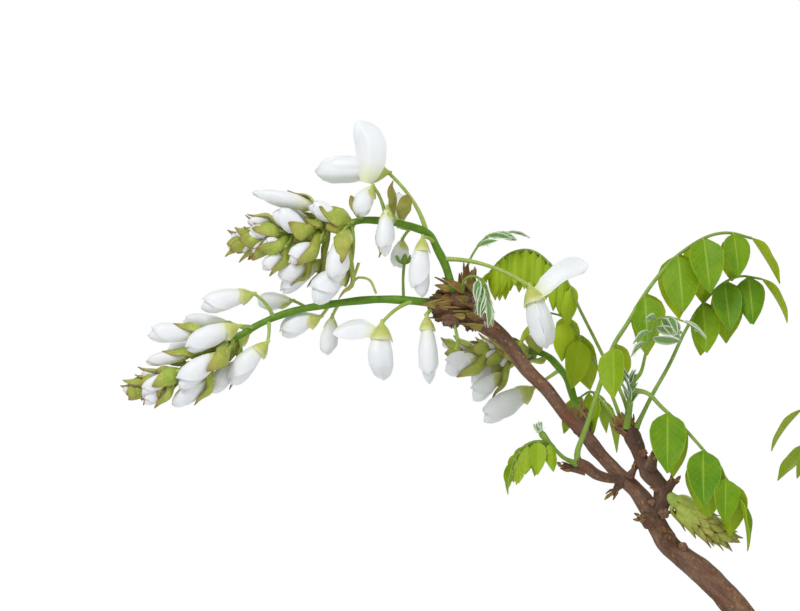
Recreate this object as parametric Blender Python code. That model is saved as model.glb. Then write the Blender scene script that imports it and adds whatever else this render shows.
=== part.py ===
"""A white wisteria bonsai in flower, in a plain unglazed pot.

The design tables are in millimetres and the meshes in metres. The pot's underside is
centred on the origin, +Z is up, and the long flowering branch reaches towards -X.
A point is (across, depth, height); the flowers are seen best from -Y.
"""

import math
import random

import bmesh
import bpy
import numpy as np
from mathutils import Vector
from mathutils.bvhtree import BVHTree

MM = 0.001
CLEARANCE = 0.3  # between pieces that lie against each other

# Pot and what it holds
POT_LENGTH, POT_DEPTH, POT_HEIGHT = 210.0, 150.0, 64.0
POT_WALL, POT_FLOOR, POT_FOOT_INSET = 6.0, 8.0, 14.0
POT_RIM_HEIGHT, POT_RIM_PROUD, INNER_KNEE = 8.0, 3.0, 30.0
POT_SIDES, POT_SQUARENESS = 28, 4.5
DRAIN_RADIUS, DRAIN_OFFSET = 7.0, 48.0
CHANNEL_WIDTH, CHANNEL_DEPTH = 8.0, 2.5
SCREEN_SIZE, SCREEN_THICK, SCREEN_BAR = 30.0, 1.0, 2.0
SCREEN_CELLS = 3
SOIL_EDGE_HEIGHT, SOIL_CROWN_HEIGHT = 56.0, 62.0
ROOT_END_HEIGHT = 33.0

# Wood: centre line points and radii
TRUNK = [(26, 0, 33), (26, 0, 53), (25, 1, 66), (20, 3, 86), (11, 4, 114), (4, 3, 144), (4, 4, 176)]
TRUNK_RADII = [14, 21, 19, 15, 13, 12, 10.5]
ROOT_LOBES, ROOT_LOBE_DEPTH = 4, 0.13
ROOT_FLARE_REACH = 36.0
SOIL_GAP = 0.8  # round the trunk, whose lobed facets are not flat
ROOT_RINGS, ROOT_SIDES = 11, 12
LEADER = [(4, 4, 168), (7, 6, 200), (18, 11, 226), (33, 14, 252), (41, 11, 280), (40, 5, 306), (43, 2, 326)]
LEADER_RADII = [10.5, 9, 7.5, 6.4, 5.2, 4.2, 3.2]
FLOWERING_BRANCH = [
    (4, 3, 160), (-7, 2, 184), (-20, 1, 206), (-33, 0, 223), (-45.5, 0, 236), (-53, 0, 242),
    (-58.5, 0, 247), (-63, 0, 254.5), (-66.5, 0, 261.5), (-71, 0, 267.5), (-76, 0, 272),
    (-84, 0, 280.5), (-89.5, 0, 287.5), (-97, 0, 295.5), (-104, 0, 304.5), (-111, 0, 311.5),
    (-117, 0, 320), (-122.5, 0, 325.5), (-129.5, 0, 330), (-138, 0, 334),
]
FLOWERING_RADII = [7.5, 6.5, 5.6, 5.0, 4.4, 4.5, 5.0, 4.9, 4.6, 3.9, 3.9, 3.1, 2.7, 2.6, 2.5, 2.5,
                   2.6, 2.9, 3.6, 4.5]
SECOND_BRANCH = [(-62, 0, 258), (-61, -3, 267), (-65, -5, 272.5), (-68.5, -6, 278), (-71, -6, 284),
                 (-73, -6, 289), (-74.5, -6, 292.5)]
SECOND_RADII = [3.8, 3.9, 3.2, 3.5, 3.1, 3.5, 3.0]
SIDE_FORK = [(-75, 0, 271), (-80.5, -4, 271.5), (-85.5, -6, 273), (-89.5, -7, 276), (-93, -8, 278)]
SIDE_FORK_RADII = [2.8, 2.0, 1.9, 2.3, 1.9]
RIGHT_BRANCH = [(18, 11, 224), (36, 4, 238), (58, -9, 246), (80, -20, 249), (98, -26, 246)]
RIGHT_RADII = [5.6, 4.9, 4.0, 3.2, 2.6]
BACK_BRANCH = [(33, 14, 250), (41, 30, 262), (46, 48, 273), (56, 66, 279)]
BACK_RADII = [5.0, 4.2, 3.3, 2.6]
# Short spurs, cut stubs and bud scars: start, end, radius at the start and at the end
SPURS = [
    ((-89.5, -7, 274.5), (-98, -7.5, 276), 1.7, 1.1),
    ((-90.5, 1, 289), (-90.5, 7, 295), 3.0, 2.2),
    ((-76, -1, 270), (-79.5, -3, 265.5), 2.0, 1.0),
    ((-73, -3, 272), (-70.5, -5, 276.5), 2.0, 0.8),
    ((-71.5, -6, 285), (-78, -7, 291), 2.0, 1.2),
    ((-60, -4, 267), (-56.5, -5, 271), 2.4, 1.4),
    ((-66, -3, 256), (-69, -5, 257), 2.8, 1.6),
    ((-59, -4, 249), (-60, -6.5, 250), 2.8, 1.8),
    ((-66, -7, 276), (-64.5, -9.5, 279.5), 2.4, 1.5),
    ((58, -9, 246), (57, -16, 246.5), 2.6, 2.0),
]
# Rough lumps of old bud scales at the knot: centre and half sizes
KNOT_LUMPS = [
    ((-142, 0, 335), (4.8, 5.0, 5.2)),
    ((-136, -1, 335), (5.4, 6.0, 6.0)),
    ((-130.5, 0, 333), (4.6, 5.2, 6.2)),
    ((-138.5, -3.5, 331.5), (3.6, 3.4, 4.4)),
    ((-132.5, 2.5, 338), (3.2, 3.2, 3.4)),
]

# Racemes: stalk centre lines, then each floret as calyx point, petal tip, petal height
STALK_RADIUS, STALK_TIP_RADIUS, PEDICEL_RADIUS = 1.6, 0.8, 0.6
# Outline of a folded floret: place from calyx to tip, half height as a share of its height
LARGE_PETALS = [(0.0, 0.14), (0.15, 0.38), (0.42, 0.55), (0.76, 0.48), (1.0, 0.12)]
SMALL_PETALS = [(0.0, 0.16), (0.22, 0.46), (0.66, 0.52), (1.0, 0.12)]
UPPER_STALK = [(-137.5, 0, 336), (-140.5, 0, 348.5), (-144, -1, 356), (-147, -2, 361.5),
               (-152.5, -2, 364), (-158, -2, 365.5), (-165, -3, 366.5), (-173, -3, 366.5),
               (-182.5, -3, 363.5), (-195, -4, 361.5), (-206, -4, 360), (-218, -4, 358.5)]
UPPER_FLORETS = [
    ((-204, -4, 366.5), (-214, -5, 365.5), 4.5),
    ((-191.5, -7, 361), (-204.5, -9, 369.5), 8),
    ((-203, -7, 362.5), (-214, -9, 361), 5.5),
    ((-200.5, -9, 357), (-208.5, -10, 358), 5),
    ((-188.5, -9, 357.5), (-198.5, -11, 351.5), 6.5),
    ((-199.5, -7, 354.5), (-208.5, -8, 348.5), 6),
    ((-189.5, -1, 371.5), (-212.5, -1, 376.5), 6),
    ((-178, -6, 366), (-191.5, -7, 372), 7),
    ((-191, -5, 350), (-202.5, -5, 345.5), 7),
    ((-186.5, -2, 352), (-201.5, -2, 340), 7),
    ((-176.5, -7, 348.5), (-189, -9, 340.5), 9),
    ((-179.5, -11, 360.5), (-180, -13, 346), 8.5),
    ((-168, -7, 379), (-173, -8, 368), 7.5),
    ((-162.5, -10, 371), (-163.5, -12, 353), 7.5),
    ((-149.5, -8, 360), (-150, -9, 338), 8),
    ((-157, 6, 359.5), (-158, 7, 349), 7),
    ((-158.5, 5, 365), (-157.5, 7, 377), 8),
    ((-190, 4, 365), (-205, 6, 370), 6.5),
    ((-196, 4, 358), (-209, 6, 355), 6),
    ((-178, 5, 358), (-184, 9, 346), 8),
]
UPPER_OPEN = [
    # the top flower: stalk root, calyx, keel tip, keel height, banner line, half widths, breadth
    ((-148, -2, 363), (-162.5, 2, 384.5), (-189.5, 2, 386), 10.5,
     [(-168.5, -1.5, 380), (-167, -2.5, 387), (-168, -2, 396), (-173.5, 0, 403.5)],
     [3.0, 4.6, 5.0, 0.8], (1, -0.25, 0)),
    # the flower to the right of the knot, on its long stalk
    ((-140.5, -1, 353.5), (-110, -8, 342), (-103.5, -10, 319.5), 10.5,
     [(-109, -8.5, 338.5), (-104, -9, 340.5), (-96.5, -8, 345.5), (-89, -6, 350)],
     [2.0, 3.4, 4.2, 1.6], (0.4, 0.5, 0.75)),
]
LOWER_STALK = [(-140, 0, 335.5), (-154, 0, 337), (-165.5, 1, 337.5), (-177.5, 2, 336.5), (-191, 2, 334.5),
               (-199.5, 2, 332.5), (-209.5, 1, 328.5), (-219.5, 0, 322.5), (-228, 0, 317),
               (-237.5, -1, 312), (-247, -2, 307.5), (-257, -2, 303)]
LOWER_FLORETS = [
    ((-212, -4, 339.5), (-231.5, -5, 334.5), 8),
    ((-222, 3, 329), (-238.5, 3, 329.5), 5.5),
    ((-231, -4, 324.5), (-251, -5, 324.5), 7.5),
    ((-217.5, -6, 327.5), (-236.5, -8, 319), 8.5),
    ((-234.5, -2, 317), (-251.5, -3, 314), 5),
    ((-222.5, -8, 317.5), (-239.5, -9, 305), 8.5),
    ((-227.5, -3, 308), (-241.5, -3, 298), 7),
    ((-240.5, -7, 310.5), (-253, -8, 303), 5.5),
    ((-242.5, -4, 305), (-252, -6, 299), 5.5),
    ((-217, 2, 314.5), (-228, 2, 303), 7),
    ((-207, -2, 321.5), (-220.5, -2, 306), 8),
    ((-187.5, 5, 331), (-202, 6, 324.5), 8),
    ((-183, 6, 331), (-185, 7, 316.5), 7),
    ((-148, -5, 331), (-147, -5, 306), 8),
    ((-228, 5, 321), (-244, 8, 318), 6.5),
    ((-214, 6, 325), (-228, 11, 315), 7.5),
    ((-198, 6, 337), (-211, 11, 336), 7),
]
LOWER_OPEN = [
    ((-153, 0, 337), (-164.5, -7, 328.5), (-165, -7, 307.5), 10,
     [(-165.5, -7, 325.5), (-171, -7.5, 327.5), (-177, -7, 327), (-182.5, -6, 325)],
     [2.0, 3.8, 4.0, 1.5], (0, 0.5, 0.87)),
]
REAR_STALK = [(-90.5, 5, 293), (-93, 13, 300.5), (-95, 22, 307.5), (-98.5, 28, 312.5), (-102, 32, 316),
              (-107.5, 34, 318), (-116, 35, 317.5), (-124, 35, 317.5), (-132, 35, 318), (-138, 35, 318.5)]
REAR_FLORETS = [
    ((-127, 32, 314.5), (-141, 31, 311), 9),
    ((-119, 33, 309.5), (-130.5, 32, 299.5), 7.5),
    ((-107.5, 33, 304), (-126.5, 31, 291.5), 10),
    ((-119, 38, 313), (-131, 41, 306), 7),
]
# Hidden side of the tree: each raceme by rule from its stalk
RULED_STALKS = {
    "raceme_right": ([(96, -26, 246), (106, -30, 243), (114, -34, 232), (119, -37, 214), (121, -38, 190),
                      (120, -38, 168)], 10, 11),
    "raceme_back": ([(54, 64, 278.5), (62, 76, 279), (71, 86, 272), (78, 93, 256), (82, 96, 236),
                     (82, 97, 216)], 9, 23),
    "raceme_front_right": ([(57, -14, 246), (54, -24, 248), (50, -38, 244), (46, -50, 232),
                            (44, -57, 214), (43, -60, 196)], 9, 37),
}
CONE_BUD_STALK = [(-60, -3.5, 266), (-53, -4, 260.5), (-46.5, -5, 255.5), (-38, -6, 250)]

# Leaves: rib line, places of the leaflet pairs along it, leaflet length and width, hang
LONG_LEAF = [(-92, -7.5, 277), (-92.5, -7.5, 281.5), (-89, -9.5, 291.5), (-83.5, -12, 309), (-79.5, -13, 320.5),
             (-74.5, -13, 328.5), (-68.5, -12, 338.5), (-63, -11, 346), (-56.5, -10, 353), (-46, -8, 360),
             (-37, -6, 362), (-28, -4, 360)]
OVER_LEAF = [(-72.5, -4, 290), (-75, 0, 300.5), (-80, 6, 311.5), (-85.5, 9, 323), (-91, 10, 334),
             (-95, 10, 343), (-100.5, 10, 349), (-105.5, 10, 354), (-110.5, 10, 356), (-116, 10, 355),
             (-120.5, 10, 352), (-124.5, 10, 347.5)]
BESIDE_LEAF = [(-75.5, -2.5, 291), (-79.5, 8, 303), (-84, 15, 312), (-88.5, 18, 320), (-92.5, 18, 326.5),
               (-97, 18, 331), (-102, 18, 332.5)]
UPRIGHT_LEAF = [(-71, -7, 290), (-65, -6, 302), (-58.5, -5, 313.5), (-52.5, -4, 326), (-45.5, -3, 336.5),
                (-39, -2, 343), (-32, -1, 346), (-24, 0, 345)]
BEHIND_LEAF = [(-76.5, -4.5, 291), (-80.5, 3, 296.5), (-83.5, 10, 300.5), (-86.5, 17, 303), (-90, 20, 301)]
NEW_SHOOT = [(-74.5, -8, 290), (-73.5, -10, 298.5), (-72.5, -11, 305), (-71.5, -11.5, 310)]
LOWER_RIGHT_LEAF = [(-72.5, -11, 304), (-67, -13, 303), (-62, -14, 298), (-55, -15, 291.5), (-46.5, -16, 282),
                    (-40, -17, 274), (-34, -18, 265)]
SILVERY_LEAF = [(-71.8, -11.5, 308), (-69.5, -15, 311), (-68, -22, 319), (-66, -27, 327), (-64, -28, 330.5),
                (-60, -28, 331), (-55, -28, 329.5)]
YOUNG_LEAF = [(-93, -8, 277), (-98, -12.5, 279.5), (-102, -15, 283.5), (-104.5, -16, 285), (-108, -17, 285.5),
              (-112, -17, 284), (-114.5, -16, 281), (-116.5, -15, 277)]
BUD_SPROUT = [(-101.5, -14.7, 283.2), (-105, -17, 287), (-107, -18, 290)]
SPRIG_LEAF = [(-131, 2.5, 337), (-133, 3, 346), (-132, 4, 352), (-127.5, 5, 359), (-123, 6, 362),
              (-117.5, 7, 362.5)]
PALE_LEAF = [(-135, -4, 338), (-134.5, -8, 344), (-131.5, -11, 346), (-128, -12.5, 344.5),
             (-126.5, -13, 340), (-126, -13, 336)]
BLADE_THICK, BRACT_WIDTH = 0.7, 6.6
RIB_BASE, RIB_TIP = 1.7, 1.0

# Leaves of the hidden side: node name, foot, compass angle, length, rise
RULED_LEAVES = [
    ("leaf_apex_a", (43.5, 2, 324), 20, 84, 34),
    ("leaf_apex_b", (42.5, 3, 325), 100, 78, 38),
    ("leaf_apex_c", (42, 2, 324), 235, 62, 42),
    ("leaf_apex_d", (43.5, 1, 324), 310, 80, 30),
    ("leaf_leader_a", (41.5, 8, 292), 60, 74, 22),
    ("leaf_leader_b", (40, 6, 300), 285, 70, 20),
    ("leaf_right_a", (98, -26, 246), 15, 72, 26),
    ("leaf_right_b", (78, -19, 249), 70, 70, 30),
    ("leaf_right_c", (88, -23, 248), 300, 64, 24),
    ("leaf_back_a", (56, 66, 279), 160, 60, 26),
    ("leaf_back_b", (48, 52, 274), 350, 70, 28),
    ("leaf_back_c", (44, 38, 267), 140, 56, 24),
]

GOLDEN_ANGLE = math.radians(137.5)
SIGHT_LINE = Vector((0.31, 0.27, 0.91)).normalized()


def clear_scene():
    for thing in list(bpy.data.objects):
        bpy.data.objects.remove(thing, do_unlink=True)


def material(name, colour, roughness, metallic=0.0):
    made = bpy.data.materials.new(name)
    made.use_nodes = True
    shader = made.node_tree.nodes["Principled BSDF"]
    shader.inputs["Base Color"].default_value = (*colour, 1.0)
    shader.inputs["Roughness"].default_value = roughness
    shader.inputs["Metallic"].default_value = metallic
    made.diffuse_color = (*colour, 1.0)
    return made


def unit(vector):
    """The vector, or each row of an array, at length 1."""
    vector = np.asarray(vector, float)
    return vector / np.linalg.norm(vector, axis=-1, keepdims=True)


def resample(line, count):
    """The same line with evenly spaced points."""
    reach = np.r_[0, np.cumsum(np.linalg.norm(np.diff(line, axis=0), axis=1))]
    places = np.linspace(0, reach[-1], count)
    return np.column_stack([np.interp(places, reach, line[:, axis]) for axis in range(3)])


def smooth_line(points, count):
    """Evenly spaced points on the Catmull-Rom curve through the given ones."""
    p = np.asarray(points, float)
    p = np.vstack([2 * p[0] - p[1], p, 2 * p[-1] - p[-2]])
    place = np.linspace(0, len(p) - 3, 24 * (len(p) - 3) + 1)
    span = np.minimum(place.astype(int), len(p) - 4)
    f = (place - span)[:, None]
    a, b, c, d = p[span], p[span + 1], p[span + 2], p[span + 3]
    fine = 0.5 * (2 * b + (c - a) * f + (2 * a - 5 * b + 4 * c - d) * f**2 + (3 * b - a - 3 * c + d) * f**3)
    return resample(fine, count)


def line_length(line):
    return float(np.linalg.norm(np.diff(line, axis=0), axis=1).sum())


def frames(line, start_side=(0.0, 1.0, 0.0)):
    """Tangent, side and up at each point, turned as little as possible from one to the next."""
    tangent = unit(np.gradient(line, axis=0))
    side = np.empty_like(line)
    last = np.asarray(start_side, float)
    for k, along in enumerate(tangent):
        last = last - along * last.dot(along)
        if np.linalg.norm(last) < 1e-6:
            last = np.cross(along, (0.3, 0.2, 0.9))
        last = unit(last)
        side[k] = last
    return tangent, side, np.cross(tangent, side)


def loft(rings, split=False):
    """A closed body through rings with the same number of points, with flat ends.

    split halves each side face, all the same way, where two bodies have to match.
    """
    count, sides = len(rings), len(rings[0])
    faces = []
    for row in range(count - 1):
        for k in range(sides):
            n = (k + 1) % sides
            a, b, c, d = row * sides + k, row * sides + n, (row + 1) * sides + n, (row + 1) * sides + k
            faces += [(a, b, c), (a, c, d)] if split else [(a, b, c, d)]
    faces.append(tuple(range(sides))[::-1])
    faces.append(tuple((count - 1) * sides + k for k in range(sides)))
    return np.vstack(rings), faces


def tube(line, radii, sides, flatten=1.0, start_side=(0.0, 1.0, 0.0)):
    """A closed round bar along the line. flatten narrows it along its side direction."""
    _, side, up = frames(line, start_side)
    radii = np.interp(np.linspace(0, 1, len(line)), np.linspace(0, 1, len(radii)), radii)
    angle = 2 * np.pi * np.arange(sides) / sides
    rings = [
        centre + radius * (np.cos(angle)[:, None] * s * flatten + np.sin(angle)[:, None] * u)
        for centre, radius, s, u in zip(line, radii, side, up)
    ]
    return loft(rings)


def lump(centre, half_sizes, sides=6):
    """A low rounded body: rings at three heights of an ellipsoid."""
    angle = 2 * np.pi * np.arange(sides) / sides
    rings = []
    for height in (-0.85, 0.0, 0.85):
        spread = math.sqrt(1 - height**2)
        ring = np.column_stack([spread * np.cos(angle), spread * np.sin(angle), np.full(sides, height)])
        rings.append(np.asarray(centre) + ring * half_sizes)
    return loft(rings)


def blade(spine, half_widths, breadth, thick=BLADE_THICK, cup=0.0):
    """A closed thin plate along the spine, the same triangles on both faces.

    Each station has a left and a right point. Where the plate is cupped there is a middle
    point too, moved along the plate's normal by cup, a share of the half width.
    """
    tangent = unit(np.gradient(spine, axis=0))
    breadth = np.asarray(breadth, float)
    across = unit(breadth - tangent * (tangent @ breadth)[:, None])
    normal = np.cross(tangent, across)
    widths = np.asarray(half_widths, float)[:, None]
    columns = [spine - across * widths, spine + across * widths]
    if cup:
        columns.insert(1, spine + normal * widths * cup)
    rows = np.stack(columns, axis=1)
    count, wide = rows.shape[:2]
    upper = (rows + normal[:, None] * thick / 2).reshape(-1, 3)
    lower = (rows - normal[:, None] * thick / 2).reshape(-1, 3)
    faces = []
    for row in range(count - 1):
        for k in range(wide - 1):
            a, b = row * wide + k, row * wide + k + 1
            c, d = b + wide, a + wide
            pair = ((a, b, c), (a, c, d)) if k else ((a, b, d), (b, c, d))
            for tri in pair:
                faces.append(tri)
                faces.append(tuple(wide * count + v for v in tri[::-1]))
    rim = [row * wide for row in range(count)]
    rim += [(count - 1) * wide + k for k in range(1, wide)]
    rim += [row * wide + wide - 1 for row in reversed(range(count - 1))]
    rim += list(range(wide - 2, 0, -1))
    for a, b in zip(rim, rim[1:] + rim[:1]):
        faces.append((b, a, wide * count + a, wide * count + b))
    return np.vstack([upper, lower]), faces


def body_object(name, body, finish):
    """A mesh object from points in millimetres, with its faces turned outwards."""
    verts, faces = body
    mesh = bpy.data.meshes.new(name)
    mesh.from_pydata((np.asarray(verts) * MM).tolist(), [], [tuple(map(int, f)) for f in faces])
    shell = bmesh.new()
    shell.from_mesh(mesh)
    bmesh.ops.recalc_face_normals(shell, faces=shell.faces)
    shell.to_mesh(mesh)
    shell.free()
    mesh.materials.append(finish)
    made = bpy.data.objects.new(name, mesh)
    bpy.context.scene.collection.objects.link(made)
    return made


def apply_modifiers(thing):
    """Keeps the mesh as the modifiers leave it, and takes the modifiers off."""
    bpy.context.view_layer.update()
    seen = thing.evaluated_get(bpy.context.evaluated_depsgraph_get())
    mesh = bpy.data.meshes.new_from_object(seen)
    thing.modifiers.clear()
    thing.data = mesh


def islands(mesh):
    """The mesh's loose pieces, as lists of vertices."""
    waiting, found = set(mesh.verts), []
    while waiting:
        stack, piece = [waiting.pop()], []
        while stack:
            vert = stack.pop()
            piece.append(vert)
            for edge in vert.link_edges:
                other = edge.other_vert(vert)
                if other in waiting:
                    waiting.remove(other)
                    stack.append(other)
        found.append(piece)
    return found


def keep_largest(thing):
    """Drops loose scraps and the skins of sealed hollows, and keeps the one main body."""
    mesh = bmesh.new()
    mesh.from_mesh(thing.data)
    pieces = sorted(islands(mesh), key=len)
    for piece in pieces[:-1]:
        bmesh.ops.delete(mesh, geom=piece, context="VERTS")
    mesh.to_mesh(thing.data)
    mesh.free()


def fuse(name, bodies, finish, solver="EXACT"):
    """One object from overlapping bodies, by one Boolean union on a collection."""
    made = body_object(name, bodies[0], finish)
    others = bpy.data.collections.new(name + "_others")
    bpy.context.scene.collection.children.link(others)
    for number, body in enumerate(bodies[1:]):
        piece = body_object(f"{name}_{number}", body, finish)
        bpy.context.scene.collection.objects.unlink(piece)
        others.objects.link(piece)
    joined = made.modifiers.new("Join", "BOOLEAN")
    joined.operation = "UNION"
    joined.operand_type = "COLLECTION"
    joined.collection = others
    joined.solver = solver
    apply_modifiers(made)
    for piece in list(others.objects):
        bpy.data.objects.remove(piece, do_unlink=True)
    bpy.data.collections.remove(others)
    keep_largest(made)
    return made


def cut(thing, cutters):
    """Cuts each cutter out of the thing and removes the cutters."""
    for cutter in cutters:
        step = thing.modifiers.new("Cut", "BOOLEAN")
        step.operation = "DIFFERENCE"
        step.object = cutter
        cutter.hide_render = True
        cutter.display_type = "WIRE"
    apply_modifiers(thing)
    for cutter in cutters:
        bpy.data.objects.remove(cutter, do_unlink=True)


def rounded_ring(half_length, half_depth, height, sides=POT_SIDES):
    """A rounded rectangle by the superellipse formula, at one height."""
    angle = 2 * np.pi * (np.arange(sides) + 0.5) / sides
    power = 2 / POT_SQUARENESS
    x = half_length * np.sign(np.cos(angle)) * np.abs(np.cos(angle)) ** power
    y = half_depth * np.sign(np.sin(angle)) * np.abs(np.sin(angle)) ** power
    return np.column_stack([x, y, np.full(sides, height)])


def pot_outline(height):
    """How far the outer wall stands in from the rim at this height: it leans in to the foot."""
    share = height / POT_HEIGHT
    return POT_FOOT_INSET * (1 - share) ** 1.6 + POT_RIM_PROUD


def pot_ring(height, inset):
    return rounded_ring(POT_LENGTH / 2 - inset, POT_DEPTH / 2 - inset, height)


def box_object(name, low, high, finish):
    corners = np.array([(x, y, z) for z in (low[2], high[2]) for x, y in
                        ((low[0], low[1]), (high[0], low[1]), (high[0], high[1]), (low[0], high[1]))])
    return body_object(name, loft([corners[:4], corners[4:]]), finish)


def build_pot(finish):
    """A lipped tray pot: two drainage holes, and two channels under it to let the water out."""
    rim_low = POT_HEIGHT - POT_RIM_HEIGHT
    outer = [(0, pot_outline(0) + 1.5), (1.5, pot_outline(0)), (24.0, pot_outline(24)),
             (rim_low, pot_outline(rim_low)), (rim_low + 1.5, 0.4), (POT_HEIGHT, 0.6)]
    inner = [(POT_HEIGHT, POT_WALL + POT_RIM_PROUD), (INNER_KNEE, pot_outline(INNER_KNEE) + POT_WALL),
             (POT_FLOOR, pot_outline(POT_FLOOR) + POT_WALL + 2.0)]
    pot = body_object("pot", loft([pot_ring(z, inset) for z, inset in outer + inner]), finish)
    cutters = []
    for way in (-1, 1):
        x = way * DRAIN_OFFSET
        drain = tube(np.array([(x, 0, -1.0), (x, 0, POT_FLOOR + 1)]), [DRAIN_RADIUS] * 2, 12)
        cutters.append(body_object("drain_cut", drain, finish))
        cutters.append(box_object("channel_cut", (x - CHANNEL_WIDTH / 2, -POT_DEPTH, -1.0),
                                  (x + CHANNEL_WIDTH / 2, POT_DEPTH, CHANNEL_DEPTH), finish))
    cut(pot, cutters)
    return pot


def build_screen(name, x, finish):
    """A square of plastic mesh over a drainage hole."""
    bottom = POT_FLOOR + CLEARANCE
    half = SCREEN_SIZE / 2
    screen = box_object(name, (x - half, -half, bottom), (x + half, half, bottom + SCREEN_THICK), finish)
    pitch = (SCREEN_SIZE - SCREEN_BAR) / SCREEN_CELLS
    cutters = []
    for column in range(SCREEN_CELLS):
        for row in range(SCREEN_CELLS):
            left = x - half + SCREEN_BAR + column * pitch
            near = -half + SCREEN_BAR + row * pitch
            cutters.append(box_object("cell_cut", (left, near, bottom - 1),
                                      (left + pitch - SCREEN_BAR, near + pitch - SCREEN_BAR, bottom + 3), finish))
    cut(screen, cutters)
    return screen


def root_flare(extra, low):
    """The foot of the trunk: rings whose radius swells into root lobes near the soil."""
    line = smooth_line(TRUNK, ROOT_RINGS)
    _, side, up = frames(line)
    radii = np.interp(np.linspace(0, 1, ROOT_RINGS), np.linspace(0, 1, 7), TRUNK_RADII)
    angle = 2 * np.pi * np.arange(ROOT_SIDES) / ROOT_SIDES
    rings = []
    for centre, radius, s, u in zip(line, radii, side, up):
        flare = max(0.0, 1 - abs(centre[2] - SOIL_CROWN_HEIGHT) / ROOT_FLARE_REACH)
        lobed = radius * (1 + ROOT_LOBE_DEPTH * flare * np.cos(ROOT_LOBES * angle)) + extra
        rings.append(centre + (np.cos(angle)[:, None] * s + np.sin(angle)[:, None] * u) * lobed[:, None])
    rings[0][:, 2] = low
    return rings


def build_soil(finish):
    """The root ball: it fills the pot, domes up to the trunk and has a plain hole for it."""
    bottom = POT_FLOOR + SCREEN_THICK + 2 * CLEARANCE

    def inside(height):
        return np.interp(height, (POT_FLOOR, INNER_KNEE, POT_HEIGHT),
                         (pot_outline(POT_FLOOR) + POT_WALL + 2.0, pot_outline(INNER_KNEE) + POT_WALL,
                          POT_WALL + POT_RIM_PROUD)) + CLEARANCE
    rings = [pot_ring(height, inside(height)) for height in (bottom, INNER_KNEE, SOIL_EDGE_HEIGHT)]
    for share in (0.75, 0.3):
        ring = pot_ring(0, inside(SOIL_EDGE_HEIGHT))
        ring[:, :2] *= share
        ring[:, 0] += TRUNK[1][0] * (1 - share)
        ring[:, 2] = SOIL_EDGE_HEIGHT + (SOIL_CROWN_HEIGHT - SOIL_EDGE_HEIGHT) * (1 - share**2)
        rings.append(ring)
    soil = body_object("soil", loft(rings), finish)
    hole = root_flare(SOIL_GAP, ROOT_END_HEIGHT - CLEARANCE)
    cut(soil, [body_object("trunk_cut", loft(hole, split=True), finish)])
    return soil


def build_wood(finish):
    """Trunk, branches, spurs and knot, grown as one piece."""
    bodies = [loft(root_flare(0.0, ROOT_END_HEIGHT), split=True)]
    bodies.append(tube(smooth_line(LEADER, 10), LEADER_RADII, 8))
    bodies.append(tube(smooth_line(FLOWERING_BRANCH, 24), FLOWERING_RADII, 7))
    bodies.append(tube(smooth_line(SECOND_BRANCH, 8), SECOND_RADII, 6))
    bodies.append(tube(smooth_line(SIDE_FORK, 5), SIDE_FORK_RADII, 5))
    bodies.append(tube(smooth_line(RIGHT_BRANCH, 7), RIGHT_RADII, 6))
    bodies.append(tube(smooth_line(BACK_BRANCH, 6), BACK_RADII, 6))
    for start, end, thick, thin in SPURS:
        bodies.append(tube(np.array([start, end], float), [thick, thin], 5))
    for centre, half_sizes in KNOT_LUMPS:
        bodies.append(lump(centre, half_sizes))
    return fuse("trunk_and_branches", bodies, finish)


def is_inside(point, wood_tree):
    """Whether a point is in the wood: a ray from it crosses the surface an odd number of times."""
    crossings, start = 0, Vector(point * MM)
    while True:
        spot, _, _, _ = wood_tree.ray_cast(start, SIGHT_LINE)
        if spot is None:
            return crossings % 2 == 1
        crossings += 1
        start = spot + SIGHT_LINE * 1e-6


def seated(line, radius, wood_tree):
    """The line from where the flat end of a bar of this radius first clears the wood."""
    dense = resample(line, 400)
    _, side, up = frames(dense)
    angle = 2 * np.pi * np.arange(8) / 8
    first = 0
    for k in range(len(dense) // 2):
        ring = dense[k] + radius * (np.cos(angle)[:, None] * side[k] + np.sin(angle)[:, None] * up[k])
        for point in (*ring, dense[k]):
            near = wood_tree.find_nearest(Vector(point * MM))[3]
            if near < CLEARANCE * MM or is_inside(point, wood_tree):
                first = k + 1
                break
        else:
            break
    return dense[first:]


def floret(root, calyx, tip, height, sides=0):
    """A stalk out of the stem, a cup and the folded petals, as one closed loft."""
    sides = sides or (5 if height > 6 else 4)
    root, calyx, tip = (np.asarray(p, float) for p in (root, calyx, tip))
    length = np.linalg.norm(tip - calyx)
    along = (tip - calyx) / length
    reach = np.linalg.norm(calyx - root)
    f = np.linspace(0, 1, 2 + int(reach / 8))[:-1, None]
    lean = root * 0.45 + (calyx - along * reach * 0.35) * 0.55
    stalk = (1 - f) ** 2 * root + 2 * f * (1 - f) * lean + f**2 * calyx
    petals = np.array(LARGE_PETALS if height > 6 else SMALL_PETALS)
    line = np.vstack([stalk, calyx + along * petals[:, :1] * length])
    radii = np.r_[np.full(len(stalk), PEDICEL_RADIUS), np.maximum(petals[:, 1] * height, PEDICEL_RADIUS)]
    _, side, up = frames(line)
    angle = 2 * np.pi * (np.arange(sides) + 0.5) / sides
    rings = [c + r * (np.cos(angle)[:, None] * s * 0.85 + np.sin(angle)[:, None] * u)
             for c, r, s, u in zip(line, radii, side, up)]
    return loft(rings)


def stem_root(stalk, calyx, back):
    """The point on the stalk that a floret grows from: nearest to its calyx, then a little back."""
    nearest = int(np.argmin(np.linalg.norm(stalk - np.asarray(calyx), axis=1)))
    step = line_length(stalk) / (len(stalk) - 1)
    return stalk[max(2, nearest - int(back / step))]


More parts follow.
